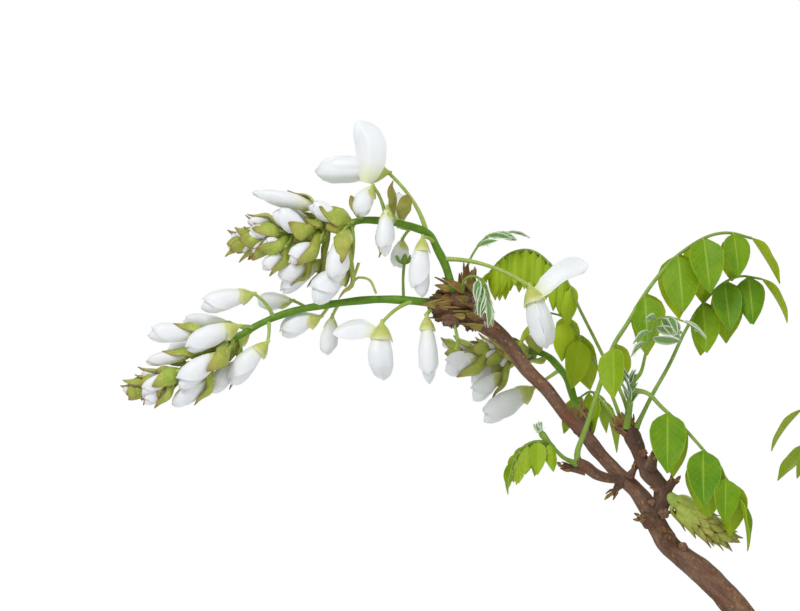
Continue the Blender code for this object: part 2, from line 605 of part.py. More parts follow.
def bract(root, calyx, tip, height, axis_point):
    """The boat-shaped scale that holds a young bud from outside."""
    root, calyx, tip = (np.asarray(p, float) for p in (root, calyx, tip))
    along = unit(tip - calyx)
    out = (calyx + tip) / 2 - np.asarray(axis_point)
    out = unit(out - along * out.dot(along) + 1e-6)
    end = calyx + along * 5.5 + out * (height * 0.5 + 0.9)
    belly = root * 0.35 + calyx * 0.65 + out * (height * 0.42 + 1.3)
    return blade(np.array([root, belly, end]), [1.0, BRACT_WIDTH / 2, 0.7], np.cross(along, out))


def scale_cone(stalk, share, count, length, height, seed):
    """The tight end of a raceme: pointed scales in a spiral round the stalk's tip."""
    draw = random.Random(seed)
    tangent, side, up = frames(stalk)
    bodies = []
    for k in range(count):
        place = 1 - share * (1 - (k + 0.5) / count)
        i = min(len(stalk) - 1, int(place * (len(stalk) - 1)))
        turn = k * GOLDEN_ANGLE
        out = np.cos(turn) * side[i] + np.sin(turn) * up[i]
        size = 1 - 0.45 * k / count
        heading = unit(tangent[i] + out * (0.75 - 0.5 * k / count))
        start = stalk[i] + out * 0.4
        reach = length * size * draw.uniform(0.9, 1.1)
        line = start + heading * reach * np.array([0.0, 0.3, 0.62, 1.0])[:, None]
        wide = height * size
        bodies.append(tube(line, [0.25 * wide, 0.5 * wide, 0.36 * wide, 0.06 * wide], 4))
    return bodies


def open_flower(root, calyx, keel_tip, height, banner, half_widths, breadth):
    """Keel and wings as a closed pod on its stalk, and the standing banner petal."""
    return [floret(root, calyx, keel_tip, height), blade(np.asarray(banner), half_widths, breadth, 0.9, 0.35)]


def build_raceme(name, points, florets, opened, cone, finish, wood_tree, bract_reach=37.0):
    """A stalk with its florets, their bracts and the scaly tip, fused into one body."""
    stalk = seated(smooth_line(points, 60), STALK_RADIUS, wood_tree)
    radii = [STALK_RADIUS, STALK_RADIUS * 0.85, STALK_TIP_RADIUS]
    bodies = [tube(resample(stalk, 10), radii, 5)]
    for calyx, tip, height in florets:
        root = stem_root(stalk, calyx, 3.0 + 0.3 * height)
        bodies.append(floret(root, calyx, tip, height))
        if calyx[1] <= stalk[-1][1] and np.linalg.norm(root - stalk[-1]) < bract_reach:
            nearest = stalk[int(np.argmin(np.linalg.norm(stalk - np.asarray(calyx), axis=1)))]
            bodies.append(bract(root, calyx, tip, height, nearest))
    for root, *flower in opened:
        start = stalk[int(np.argmin(np.linalg.norm(stalk - np.asarray(root), axis=1)))]
        bodies += open_flower(start, *flower)
    bodies += scale_cone(stalk, *cone)
    return fuse(name, bodies, finish)


def ruled_florets(points, count, seed):
    """Florets in a spiral down the stalk: long stalks and big petals first, small buds last."""
    draw = random.Random(seed)
    stalk = smooth_line(points, 60)
    tangent, side, up = frames(stalk)
    florets, opened = [], []
    for k in range(count):
        place = 0.2 + 0.62 * k / (count - 1)
        i = int(place * 59)
        turn = k * GOLDEN_ANGLE + draw.uniform(-0.2, 0.2)
        out = np.cos(turn) * side[i] + np.sin(turn) * up[i]
        young = k / (count - 1)
        size = 1 - 0.62 * young
        calyx = stalk[i] + out * (2.5 + 7.5 * size) + tangent[i] * 3.0 + np.array([0, 0, -1.5 * size])
        heading = unit(out * (0.55 - 0.3 * young) + tangent[i] * 0.75 + np.array([0, 0, -0.5]) * size)
        tip = calyx + heading * (7 + 14 * size)
        height = 3.4 + 5.2 * size
        if k in (0, 3):
            raise_way = unit(out + np.array([0, 0, 0.6]))
            banner = [calyx + heading * 2.5, calyx + heading * 3 + raise_way * 6,
                      calyx + heading * 1.0 + raise_way * 13, calyx - heading * 3 + raise_way * 17]
            breadth = np.cross(heading, raise_way)
            opened.append((stalk[i], calyx, tip, height, banner, [2.0, 6.5, 7.5, 2.5], breadth))
        else:
            florets.append((calyx, tip, height))
    return florets, opened


def rib_frames(line):
    """Tangent, level breadth and up of a leaf's rib, the breadth square to its whole run."""
    run = line[-1] - line[0]
    level = np.array([-run[1], run[0], 0.0])
    if np.linalg.norm(level) < 1e-6:
        level = np.array([0.0, 1.0, 0.0])
    tangent = unit(np.gradient(line, axis=0))
    breadth = unit(unit(level) - tangent * (tangent @ unit(level))[:, None])
    return tangent, breadth, np.cross(tangent, breadth)


def compound_leaf(line, pairs, length, width, hang, seed, stations=2, terminal=True):
    """A rib with leaflets cut to it: one closed thin body.

    The rib is a four-sided bar. Where a pair sits, the bar's side face is left out and the
    leaflet's two faces start from its edges. hang runs from 0, level, to 1, straight down.
    """
    draw = random.Random(seed)
    total = line_length(line)
    attach = 1.8
    petiole = pairs[0] * total - attach / 2
    places = list(np.linspace(0, petiole, max(2, int(petiole / 14)) + 1)[:-1])
    for share in pairs:
        places += [share * total - attach / 2, share * total + attach / 2]
    if not terminal or total - places[-1] > 1.0:
        places.append(total)
    places = np.array(places)
    dense = resample(line, 300)
    reach = np.linspace(0, total, 300)
    tangent, breadth, up = rib_frames(dense)

    def at(values, where):
        return np.column_stack([np.interp(where, reach, values[:, axis]) for axis in range(3)])

    centres, ways, rises = at(dense, places), unit(at(breadth, places)), unit(at(up, places))
    half = np.interp(places, (0, total), (RIB_BASE / 2, RIB_TIP / 2))[:, None]
    corners = [centres - ways * half + rises * half, centres + ways * half + rises * half,
               centres + ways * half - rises * half, centres - ways * half - rises * half]
    verts = list(np.stack(corners, axis=1).reshape(-1, 3))
    faces = [(3, 2, 1, 0)]
    starts = {int(np.argmin(np.abs(places - (share * total - attach / 2)))): share for share in pairs}

    def leaflet(upper_pair, lower_pair, heading, across, size):
        """Both faces and the rim of one leaflet, from the rib's two edges out to its point."""
        foot = sum(verts[v] for v in upper_pair + lower_pair) / 4
        normal = unit(np.cross(across, heading))
        if normal.dot(verts[upper_pair[0]] - verts[lower_pair[0]]) < 0:
            normal = -normal
        outline = {2: [(0.3, 0.82), (0.68, 0.74)], 3: [(0.18, 0.62), (0.45, 1.0), (0.78, 0.6)]}[stations]
        upper, lower = [upper_pair], [lower_pair]
        point, way, last = foot, unit(heading), 0.0
        for place, wide in outline + [(1.0, 0.0)]:
            step = (place - last) * length * size
            way = unit(way + np.array([0, 0, -0.25 * hang]))
            point, last = point + way * step, place
            ends = (-1, 1) if wide else (0,)
            for rows, face in ((upper, 0.5), (lower, -0.5)):
                first = len(verts)
                for end in ends:
                    verts.append(point + across * end * wide * width / 2 * size + normal * face * BLADE_THICK)
                rows.append(tuple(range(first, len(verts))))
        for rows in (upper, lower):
            for a, b in zip(rows, rows[1:]):
                faces.append((a[0], a[1], b[0]))
                if len(b) == 2:
                    faces.append((a[1], b[1], b[0]))
        for end in (0, -1):
            for k in range(len(upper) - 1):
                faces.append((upper[k][end], upper[k + 1][end], lower[k + 1][end], lower[k][end]))

    for k in range(len(places) - 1):
        a, b = 4 * k, 4 * k + 4
        faces.append((a, a + 1, b + 1, b))
        faces.append((a + 3, a + 2, b + 2, b + 3)[::-1])
        along = unit(centres[k + 1] - centres[k])
        for way, (near_up, near_low) in ((1, (1, 2)), (-1, (0, 3))):
            if k in starts:
                size = draw.uniform(0.88, 1.08) * (0.85 if starts[k] == pairs[-1] else 1.0)
                out = ways[k] * way
                level = unit(out + along * 0.35)
                drop = np.array([0, 0, -1.0]) + out * draw.uniform(0.12, 0.26)
                heading = unit(level * (1 - hang) + drop * hang)
                lean = unit(along + np.array([0, 0, draw.uniform(-0.25, 0.25)]) * hang)
                across = unit(lean - heading * lean.dot(heading))
                leaflet((a + near_up, b + near_up), (a + near_low, b + near_low), heading, across, size)
            else:
                faces.append((a + near_up, b + near_up, b + near_low, a + near_low))
    last = 4 * (len(places) - 1)
    if terminal:
        along = unit(centres[-1] - centres[-2])
        heading = unit(along * (1 - 0.6 * hang) + np.array([0, 0, -0.6 * hang]))
        leaflet((last, last + 1), (last + 3, last + 2), heading, ways[-1], 0.95)
    else:
        faces.append((last, last + 1, last + 2, last + 3))
    return np.array(verts), faces


def build_leaf(name, points, pairs, length, width, hang, seed, finish, wood_tree, **more):
    line = seated(smooth_line(points, 120), RIB_BASE / 2 * math.sqrt(2), wood_tree)
    body = compound_leaf(line, pairs, length, width, hang, seed, **more)
    return body_object(name, body, finish)


def ruled_leaf_line(foot, compass, length, rise):
    """A stalk that climbs, bends over and droops, towards a compass angle."""
    share = np.linspace(0, 1, 24)
    way = np.array([math.cos(math.radians(compass)), math.sin(math.radians(compass)), 0.0])
    out = length * share
    up = rise * (2.3 * share - 1.7 * share**2)
    return np.asarray(foot, float) + out[:, None] * way + up[:, None] * np.array([0, 0, 1.0])


def build_photographed_leaves(green, silver, wood_tree):
    build_leaf("leaf_long", LONG_LEAF, [0.385, 0.575, 0.738, 0.835, 0.935], 21, 13, 0.86, 1, green, wood_tree,
               stations=3)
    build_leaf("leaf_over", OVER_LEAF, [0.6, 0.69, 0.77, 0.835, 0.895, 0.955], 14, 6.2, 0.9, 2, green,
               wood_tree)
    build_leaf("leaf_beside", BESIDE_LEAF, [0.72, 0.87], 18, 9, 0.88, 3, green, wood_tree)
    build_leaf("leaf_upright", UPRIGHT_LEAF, [0.665, 0.81, 0.93], 20, 12, 0.86, 4, green, wood_tree, stations=3)
    build_leaf("leaf_behind_branch", BEHIND_LEAF, [0.52, 0.8], 16, 9, 0.9, 5, green, wood_tree)
    build_leaf("leaf_sprig", SPRIG_LEAF, [0.66, 0.84], 8, 3.4, 0.5, 6, silver, wood_tree)
    build_leaf("leaf_unfolding", PALE_LEAF, [0.55, 0.76], 9, 4.2, 0.8, 7, silver, wood_tree)
    young = seated(smooth_line(YOUNG_LEAF, 120), RIB_BASE / 2 * math.sqrt(2), wood_tree)
    sprout = tube(smooth_line(BUD_SPROUT, 4), [0.8, 0.9, 1.8, 0.6], 5)
    fuse("shoot_side_fork", [compound_leaf(young, [0.5, 0.66, 0.82], 12, 5, 0.75, 8), sprout], green)
    shoot = tube(resample(seated(smooth_line(NEW_SHOOT, 120), 1.4, wood_tree), 6), [1.4, 1.3, 1.3, 0.8], 6)
    lower = compound_leaf(smooth_line(LOWER_RIGHT_LEAF, 80), [0.285, 0.617, 0.85], 21, 13, 0.88, 9, stations=3)
    silvery = compound_leaf(smooth_line(SILVERY_LEAF, 80), [0.5, 0.7, 0.86], 10, 4, 0.35, 10)
    fuse("shoot_second_branch", [shoot, lower, silvery], green, "MANIFOLD")


def build_ruled_leaves(green, wood_tree):
    for number, (name, foot, compass, length, rise) in enumerate(RULED_LEAVES):
        line = ruled_leaf_line(foot, compass, length, rise)
        build_leaf(name, line, [0.4, 0.66, 0.88], 22, 13, 0.55, 30 + number, green, wood_tree)


def build_racemes(petal, wood_tree):
    build_raceme("raceme_upper", UPPER_STALK, UPPER_FLORETS, UPPER_OPEN, (0.15, 7, 11, 6.0, 3), petal,
                 wood_tree)
    build_raceme("raceme_lower", LOWER_STALK, LOWER_FLORETS, LOWER_OPEN, (0.12, 7, 9.5, 5.0, 5), petal,
                 wood_tree)
    build_raceme("raceme_rear", REAR_STALK, REAR_FLORETS, [], (0.42, 8, 10.5, 5.5, 7), petal, wood_tree)
    for name, (points, count, seed) in RULED_STALKS.items():
        florets, opened = ruled_florets(points, count, seed)
        build_raceme(name, points, florets, opened, (0.16, 3, 10, 5.0, seed), petal, wood_tree, 0.0)


def build_cone_bud(finish, wood_tree):
    """An unopened raceme: nothing but scales in a spiral."""
    stalk = seated(smooth_line(CONE_BUD_STALK, 60), 1.6, wood_tree)
    bodies = [tube(resample(stalk, 5), [1.6, 3.2, 4.2, 2.0], 6)]
    bodies += scale_cone(stalk, 0.95, 9, 14, 8.5, 9)
    return fuse("raceme_unopened", bodies, finish)


def main():
    clear_scene()
    clay = material("unglazed_clay", (0.20, 0.10, 0.065), 0.8)
    earth = material("soil", (0.06, 0.04, 0.028), 0.95)
    plastic = material("screen_plastic", (0.02, 0.02, 0.02), 0.5)
    bark = material("bark", (0.19, 0.10, 0.065), 0.85)
    petal = material("petals", (0.86, 0.88, 0.86), 0.5)
    scales = material("bud_scales", (0.30, 0.34, 0.05), 0.55)
    green = material("leaf", (0.13, 0.30, 0.02), 0.45)
    silver = material("young_leaf", (0.30, 0.44, 0.20), 0.6)
    build_pot(clay)
    for name, way in (("drainage_screen_left", -1), ("drainage_screen_right", 1)):
        build_screen(name, way * DRAIN_OFFSET, plastic)
    build_soil(earth)
    wood = build_wood(bark)
    wood_tree = BVHTree.FromObject(wood, bpy.context.evaluated_depsgraph_get())
    build_racemes(petal, wood_tree)
    build_cone_bud(scales, wood_tree)
    build_photographed_leaves(green, silver, wood_tree)
    build_ruled_leaves(green, wood_tree)


main()
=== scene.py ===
"""A white wisteria bonsai in flower: petals, leaves, bark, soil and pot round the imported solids.

Shapes are worked out in millimetres and written to the meshes in metres. Every piece keeps the
place of the solid that it stands for.
"""

import math
import random

import bmesh
import bpy
import numpy as np
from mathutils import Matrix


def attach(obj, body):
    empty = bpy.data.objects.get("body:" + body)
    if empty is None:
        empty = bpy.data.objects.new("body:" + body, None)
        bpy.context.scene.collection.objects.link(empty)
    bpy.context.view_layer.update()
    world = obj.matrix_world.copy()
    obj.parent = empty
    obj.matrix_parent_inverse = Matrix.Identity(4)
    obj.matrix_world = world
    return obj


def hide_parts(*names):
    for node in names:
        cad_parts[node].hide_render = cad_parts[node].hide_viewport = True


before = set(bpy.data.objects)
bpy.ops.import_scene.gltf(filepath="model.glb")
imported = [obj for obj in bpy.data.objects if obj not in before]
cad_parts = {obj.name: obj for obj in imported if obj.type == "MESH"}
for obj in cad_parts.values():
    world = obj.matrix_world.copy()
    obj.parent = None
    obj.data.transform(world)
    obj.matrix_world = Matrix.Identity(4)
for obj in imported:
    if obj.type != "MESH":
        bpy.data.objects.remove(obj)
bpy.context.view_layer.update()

MM = 0.001
GOLDEN_ANGLE = math.radians(137.5)
WOOD_BODY = "root"
LINE_STEPS, RIB_STEPS, LEAF_STEPS, YOUNG_STEPS, SCALE_STEPS, PEDICEL_STEPS = 60, 300, 120, 80, 40, 14
PETAL_THICK, BANNER_THICK, BRACT_THICK, LEAF_THICK, SCALE_THICK = 0.3, 0.35, 0.35, 0.3, 0.4
SHEATH_COUNT, SHEATH_REACH = 15, 44.0

# ---------------------------------------------------------------- lines of the plant, as in the solids
TRUNK = [(26, 0, 33), (26, 0, 53), (25, 1, 66), (20, 3, 86), (11, 4, 114), (4, 3, 144), (4, 4, 176)]
TRUNK_RADII = [14, 21, 19, 15, 13, 12, 10.5]
SOIL_CROWN, SOIL_EDGE, ROOT_REACH = 62.0, 56.0, 36.0
LEADER = [(4, 4, 168), (7, 6, 200), (18, 11, 226), (33, 14, 252), (41, 11, 280), (40, 5, 306), (43, 2, 326)]
LEADER_RADII = [10.5, 9, 7.5, 6.4, 5.2, 4.2, 3.2]
FLOWERING_BRANCH = [
    (4, 3, 160), (-7, 2, 184), (-20, 1, 206), (-33, 0, 223), (-45.5, 0, 236), (-53, 0, 242),
    (-58.5, 0, 247), (-63, 0, 254.5), (-66.5, 0, 261.5), (-71, 0, 267.5), (-76, 0, 272),
    (-84, 0, 280.5), (-89.5, 0, 287.5), (-97, 0, 295.5), (-104, 0, 304.5), (-111, 0, 311.5),
    (-117, 0, 320), (-122.5, 0, 325.5), (-129.5, 0, 330), (-138, 0, 334),
]
FLOWERING_RADII = [7.5, 6.5, 5.6, 5.0, 4.4, 4.5, 5.0, 4.9, 4.6, 3.9, 3.9, 3.1, 2.7, 2.6, 2.5, 2.5,
                   2.6, 2.9, 3.6, 4.5]
SECOND_BRANCH = [(-62, 0, 258), (-61, -3, 267), (-65, -5, 272.5), (-68.5, -6, 278), (-71, -6, 284),
                 (-73, -6, 289), (-74.5, -6, 292.5)]
SECOND_RADII = [3.8, 3.9, 3.2, 3.5, 3.1, 3.5, 3.0]
SIDE_FORK = [(-75, 0, 271), (-80.5, -4, 271.5), (-85.5, -6, 273), (-89.5, -7, 276), (-93, -8, 278)]
SIDE_FORK_RADII = [2.8, 2.0, 1.9, 2.3, 1.9]
RIGHT_BRANCH = [(18, 11, 224), (36, 4, 238), (58, -9, 246), (80, -20, 249), (98, -26, 246)]
RIGHT_RADII = [5.6, 4.9, 4.0, 3.2, 2.6]
BACK_BRANCH = [(33, 14, 250), (41, 30, 262), (46, 48, 273), (56, 66, 279)]
BACK_RADII = [5.0, 4.2, 3.3, 2.6]
SPURS = [
    ((-89.5, -7, 274.5), (-98, -7.5, 276), 1.7, 1.1),
    ((-90.5, 1, 289), (-90.5, 7, 295), 3.0, 2.2),
    ((-76, -1, 270), (-79.5, -3, 265.5), 2.0, 1.0),
    ((-73, -3, 272), (-70.5, -5, 276.5), 2.0, 0.8),
    ((-71.5, -6, 285), (-78, -7, 291), 2.0, 1.2),
    ((-60, -4, 267), (-56.5, -5, 271), 2.4, 1.4),
    ((-66, -3, 256), (-69, -5, 257), 2.8, 1.6),
    ((-59, -4, 249), (-60, -6.5, 250), 2.8, 1.8),
    ((-66, -7, 276), (-64.5, -9.5, 279.5), 2.4, 1.5),
    ((58, -9, 246), (57, -16, 246.5), 2.6, 2.0),
]
KNOT_LUMPS = [
    ((-142, 0, 335), (4.8, 5.0, 5.2)),
    ((-136, -1, 335), (5.4, 6.0, 6.0)),
    ((-130.5, 0, 333), (4.6, 5.2, 6.2)),
    ((-138.5, -3.5, 331.5), (3.6, 3.4, 4.4)),
    ((-132.5, 2.5, 338), (3.2, 3.2, 3.4)),
]
# Limbs: line, radii, roughness, seed, darkness, pitch of the mesh, depth of the root lobes
LIMBS = [
    (TRUNK, TRUNK_RADII, 2.5, 1, 0.12, 1.25, 0.13),
    (LEADER, LEADER_RADII, 2.4, 2, 0.08, 1.1, 0.0),
    (FLOWERING_BRANCH, FLOWERING_RADII, 1.35, 3, 0.0, 0.85, 0.0),
    (SECOND_BRANCH, SECOND_RADII, 3.8, 4, 0.12, 0.5, 0.0),
    (SIDE_FORK, SIDE_FORK_RADII, 2.0, 5, 0.1, 0.5, 0.0),
    (RIGHT_BRANCH, RIGHT_RADII, 2.0, 6, 0.05, 0.9, 0.0),
    (BACK_BRANCH, BACK_RADII, 2.0, 7, 0.05, 0.9, 0.0),
]
# Old bud scales: line, radius of the wood, count, length, seed, how far they stand out, how brown
OLD_SCALE = (0.72, 1.0)
BUD_SCALES = [
    ([(-127, 0, 331.5), (-135, -0.5, 334), (-143, 0, 335.5)], 5.0, 34, 2.6, 71, 0.5, OLD_SCALE),
    ([(-131, -1, 337), (-136, -1, 338.5), (-140, -1, 337)], 3.9, 14, 2.6, 72, 0.5, OLD_SCALE),
    ([(-131, -2, 336), (-137, -3, 338), (-142, -2, 339)], 4.6, 16, 4.6, 79, 0.6, (0.25, 0.95)),
    ([(-126, -2, 330), (-131, -3, 332), (-136, -3, 333)], 5.0, 12, 3.6, 80, 0.4, (0.5, 0.95)),
    ([(-133.5, 3, 339), (-133, 3, 343), (-132.2, 3, 347)], 1.4, 12, 3.4, 73, 0.5, OLD_SCALE),
    ([(-73, -6, 288), (-74, -6, 291), (-74.6, -6, 293)], 2.8, 20, 2.4, 74, 0.4, OLD_SCALE),
    ([(-89, 3, 290), (-90.5, 5, 293), (-91, 7, 296)], 2.2, 14, 3.0, 75, 0.5, OLD_SCALE),
    ([(40.5, 3, 318), (42, 2.4, 323), (43, 2, 327)], 2.8, 18, 4.0, 76, 0.5, OLD_SCALE),
    ([(92, -25, 247), (98, -26, 246), (100, -26.5, 245.5)], 2.4, 14, 3.4, 77, 0.5, OLD_SCALE),
    ([(52, 60, 277.5), (56, 66, 279), (57.5, 68, 279.5)], 2.4, 14, 3.4, 78, 0.5, OLD_SCALE),
]
# Corky scars on the second branch and near its foot: place and size
SCARS = [
    ((-68.6, -8.6, 281), 1.9), ((-70.9, -8.6, 284.6), 1.7), ((-63.4, -5.8, 268.4), 2.3),
    ((-60.5, -4.2, 258.5), 2.4), ((-53.6, -3.6, 246.2), 2.0), ((-64.8, -3.6, 262.5), 1.6),
]
ROOT_COUNT, ROOT_CENTRE = 7, (26.0, 0.5, 0.0)
STALK_RADIUS, STALK_TIP_RADIUS = 1.6, 0.8
UPPER_STALK = [(-137.5, 0, 336), (-140.5, 0, 348.5), (-144, -1, 356), (-147, -2, 361.5),
               (-152.5, -2, 364), (-158, -2, 365.5), (-165, -3, 366.5), (-173, -3, 366.5),
               (-182.5, -3, 363.5), (-195, -4, 361.5), (-206, -4, 360), (-218, -4, 358.5)]
UPPER_FLORETS = [
    ((-204, -4, 366.5), (-214, -5, 365.5), 4.5),
    ((-191.5, -7, 361), (-204.5, -9, 369.5), 8),
    ((-203, -7, 362.5), (-214, -9, 361), 5.5),
    ((-200.5, -9, 357), (-208.5, -10, 358), 5),
    ((-188.5, -9, 357.5), (-198.5, -11, 351.5), 6.5),
    ((-199.5, -7, 354.5), (-208.5, -8, 348.5), 6),
    ((-189.5, -1, 371.5), (-212.5, -1, 376.5), 6.5, "pointed"),
    ((-178, -6, 366), (-191.5, -7, 372), 7),
    ((-191, -5, 350), (-202.5, -5, 345.5), 7),
    ((-186.5, -2, 352), (-201.5, -2, 340), 7),
    ((-176.5, -7, 348.5), (-190, -9, 336.5), 10),
    ((-179.5, -11, 360.5), (-181, -13, 343.5), 9.3),
    ((-168, -7, 379), (-173, -8, 368), 7.5),
    ((-162.5, -10, 371), (-163.5, -12, 353), 7.5),
    ((-149.5, -8, 360), (-150, -9, 338), 8),
    ((-157, 6, 359.5), (-158, 7, 349), 7),
    ((-158.5, 5, 365), (-157.5, 7, 377), 8),
    ((-190, 4, 365), (-205, 6, 370), 6.5),
    ((-196, 4, 358), (-209, 6, 355), 6),
    ((-178, 5, 358), (-184, 9, 346), 8),
]
UPPER_OPEN = [
    ((-148, -2, 363), (-162.5, 2, 384.5), (-189.5, 2, 386.5), 11.6,
     [(-170.5, -4, 380.5), (-169.5, -4.5, 387), (-169.7, -4, 396), (-173.5, -1.5, 403.3)], 5.9,
     (1, -0.25, 0)),
    ((-140.5, -1, 353.5), (-110, -8, 342), (-103.5, -10, 319.5), 11.6,
     [(-109, -8.5, 338.5), (-104, -9, 340.5), (-96.5, -8, 346.5), (-89, -6, 351)], 5.4, (0.4, 0.5, 0.75)),
]
LOWER_STALK = [(-140, 0, 335.5), (-154, 0, 337), (-165.5, 1, 337.5), (-177.5, 2, 336.5), (-191, 2, 334.5),
               (-199.5, 2, 332.5), (-209.5, 1, 328.5), (-219.5, 0, 322.5), (-228, 0, 317),
               (-237.5, -1, 312), (-247, -2, 307.5), (-257, -2, 303)]
LOWER_FLORETS = [
    ((-212, -4, 339.5), (-231.5, -5, 334.5), 8),
    ((-222, 3, 329), (-238.5, 3, 329.5), 5.5),
    ((-231, -4, 324.5), (-251, -5, 324.5), 7.5),
    ((-217.5, -6, 327.5), (-236.5, -8, 319), 8.5),
    ((-234.5, -2, 317), (-251.5, -3, 314), 5),
    ((-222.5, -8, 317.5), (-239.5, -9, 305), 8.5),
    ((-227.5, -3, 308), (-241.5, -3, 298), 7),
    ((-240.5, -7, 310.5), (-253, -8, 303), 5.5),
    ((-242.5, -4, 305), (-252, -6, 299), 5.5),
    ((-217, 2, 314.5), (-228, 2, 303), 7),
    ((-207, -2, 321.5), (-220.5, -2, 306), 8),
    ((-187.5, 5, 331), (-202, 6, 324.5), 8),
    ((-183, 6, 331), (-185, 7, 316.5), 7),
    ((-148, -5, 331), (-147, -5, 306), 8),
    ((-228, 5, 321), (-244, 8, 318), 6.5),
    ((-214, 6, 325), (-228, 11, 315), 7.5),
    ((-198, 6, 337), (-211, 11, 336), 7),
]
LOWER_OPEN = [
    ((-153, 0, 337), (-164.5, -7, 328.5), (-165, -7, 307.5), 11,
     [(-165.5, -7, 325.5), (-171, -7.5, 327.5), (-177, -7, 327), (-182.5, -6, 325)], 4.2, (0, 0.5, 0.87)),
]
REAR_STALK = [(-90.5, 5, 293), (-93, 13, 300.5), (-95, 22, 307.5), (-98.5, 28, 312.5), (-102, 32, 316),
              (-107.5, 34, 318), (-116, 35, 317.5), (-124, 35, 317.5), (-132, 35, 318), (-138, 35, 318.5)]
REAR_FLORETS = [
    ((-127, 32, 314.5), (-141, 31, 311), 9),
    ((-119, 33, 309.5), (-130.5, 32, 299.5), 7.5),
    ((-107.5, 33, 304), (-126.5, 31, 291.5), 10),
    ((-119, 38, 313), (-131, 41, 306), 7),
]
RULED_STALKS = {
    "raceme_right": ([(96, -26, 246), (106, -30, 243), (114, -34, 232), (119, -37, 214), (121, -38, 190),
                      (120, -38, 168)], 10, 11),
    "raceme_back": ([(54, 64, 278.5), (62, 76, 279), (71, 86, 272), (78, 93, 256), (82, 96, 236),
                     (82, 97, 216)], 9, 23),
    "raceme_front_right": ([(57, -14, 246), (54, -24, 248), (50, -38, 244), (46, -50, 232),
                            (44, -57, 214), (43, -60, 196)], 9, 37),
}
CONE_BUD_STALK = [(-60, -3.5, 266), (-53, -4, 260.5), (-46.5, -5, 255.5), (-38, -6, 250)]
LONG_LEAF = [(-92, -7.5, 277), (-92.5, -7.5, 281.5), (-89, -9.5, 291.5), (-83.5, -12, 309),
             (-79.5, -13, 320.5),
             (-74.5, -13, 328.5), (-68.5, -12, 338.5), (-63, -11, 346), (-56.5, -10, 353), (-46, -8, 360),
             (-37, -6, 362), (-28, -4, 360)]
OVER_LEAF = [(-72.5, -4, 290), (-75, 0, 300.5), (-80, 6, 311.5), (-85.5, 9, 323), (-91, 10, 334),
             (-95, 10, 343), (-100.5, 10, 349), (-105.5, 10, 354), (-110.5, 10, 356), (-116, 10, 355),
             (-120.5, 10, 352), (-124.5, 10, 347.5)]
BESIDE_LEAF = [(-75.5, -2.5, 291), (-79.5, 8, 303), (-84, 15, 312), (-88.5, 18, 320), (-92.5, 18, 326.5),
               (-97, 18, 331), (-102, 18, 332.5)]
UPRIGHT_LEAF = [(-71, -7, 290), (-65, -6, 302), (-58.5, -5, 313.5), (-52.5, -4, 326), (-45.5, -3, 336.5),
                (-39, -2, 343), (-32, -1, 346), (-24, 0, 345)]
BEHIND_LEAF = [(-76.5, -4.5, 291), (-80.5, 3, 296.5), (-83.5, 10, 300.5), (-86.5, 17, 303), (-90, 20, 301)]
NEW_SHOOT = [(-74.5, -8, 290), (-73.5, -10, 298.5), (-72.5, -11, 305), (-71.5, -11.5, 310)]
LOWER_RIGHT_LEAF = [(-72.5, -11, 304), (-67, -13, 303), (-62, -14, 298), (-55, -15, 291.5), (-46.5, -16, 282),
                    (-40, -17, 274), (-34, -18, 265)]
SILVERY_LEAF = [(-71.8, -11.5, 308), (-69.5, -15, 311), (-68, -22, 319), (-66, -27, 327), (-64, -28, 330.5),
                (-60, -28, 331), (-55, -28, 329.5)]
YOUNG_LEAF = [(-93, -8, 277), (-98, -12.5, 279.5), (-102, -15, 283.5), (-104.5, -16, 285), (-108, -17, 285.5),
              (-112, -17, 284), (-114.5, -16, 281), (-116.5, -15, 277)]
BUD_SPROUT = [(-101.5, -14.7, 283.2), (-105, -17, 287), (-107, -18, 290)]
SPRIG_LEAF = [(-131, 2.5, 337), (-133, 3, 346), (-132, 4, 352), (-127.5, 5, 359), (-123, 6, 362),
              (-117.5, 7, 362.5)]
PALE_LEAF = [(-135, -4, 338), (-134.5, -8, 344), (-131.5, -11, 346), (-128, -12.5, 344.5),
             (-126.5, -13, 340), (-126, -13, 336)]
RULED_LEAVES = [
    ("leaf_apex_a", (43.5, 2, 324), 20, 84, 34),
    ("leaf_apex_b", (42.5, 3, 325), 100, 78, 38),
    ("leaf_apex_c", (42, 2, 324), 235, 62, 42),
    ("leaf_apex_d", (43.5, 1, 324), 310, 80, 30),
    ("leaf_leader_a", (41.5, 8, 292), 60, 74, 22),
    ("leaf_leader_b", (40, 6, 300), 285, 70, 20),
    ("leaf_right_a", (98, -26, 246), 15, 72, 26),
    ("leaf_right_b", (78, -19, 249), 70, 70, 30),
    ("leaf_right_c", (88, -23, 248), 300, 64, 24),
    ("leaf_back_a", (56, 66, 279), 160, 60, 26),
    ("leaf_back_b", (48, 52, 274), 350, 70, 28),
    ("leaf_back_c", (44, 38, 267), 140, 56, 24),
]

# Pot, as in the solids
POT_LENGTH, POT_DEPTH, POT_HEIGHT = 210.0, 150.0, 64.0
POT_WALL, POT_FLOOR, POT_FOOT_INSET = 6.0, 8.0, 14.0
POT_RIM_HEIGHT, POT_RIM_PROUD, INNER_KNEE = 8.0, 3.0, 30.0
POT_SQUARENESS, POT_SIDES = 4.5, 200
DRAIN_RADIUS, DRAIN_OFFSET, CHANNEL_WIDTH, CHANNEL_DEPTH = 7.0, 48.0, 8.0, 2.5

# Soil: how far it and its grains stand in from the rim, and how many grains and moss tufts are tried
SOIL_INSET, GRAIN_INSET = 9.6, 11.5
GRAIN_COUNT, TUFT_COUNT = 2300, 9000

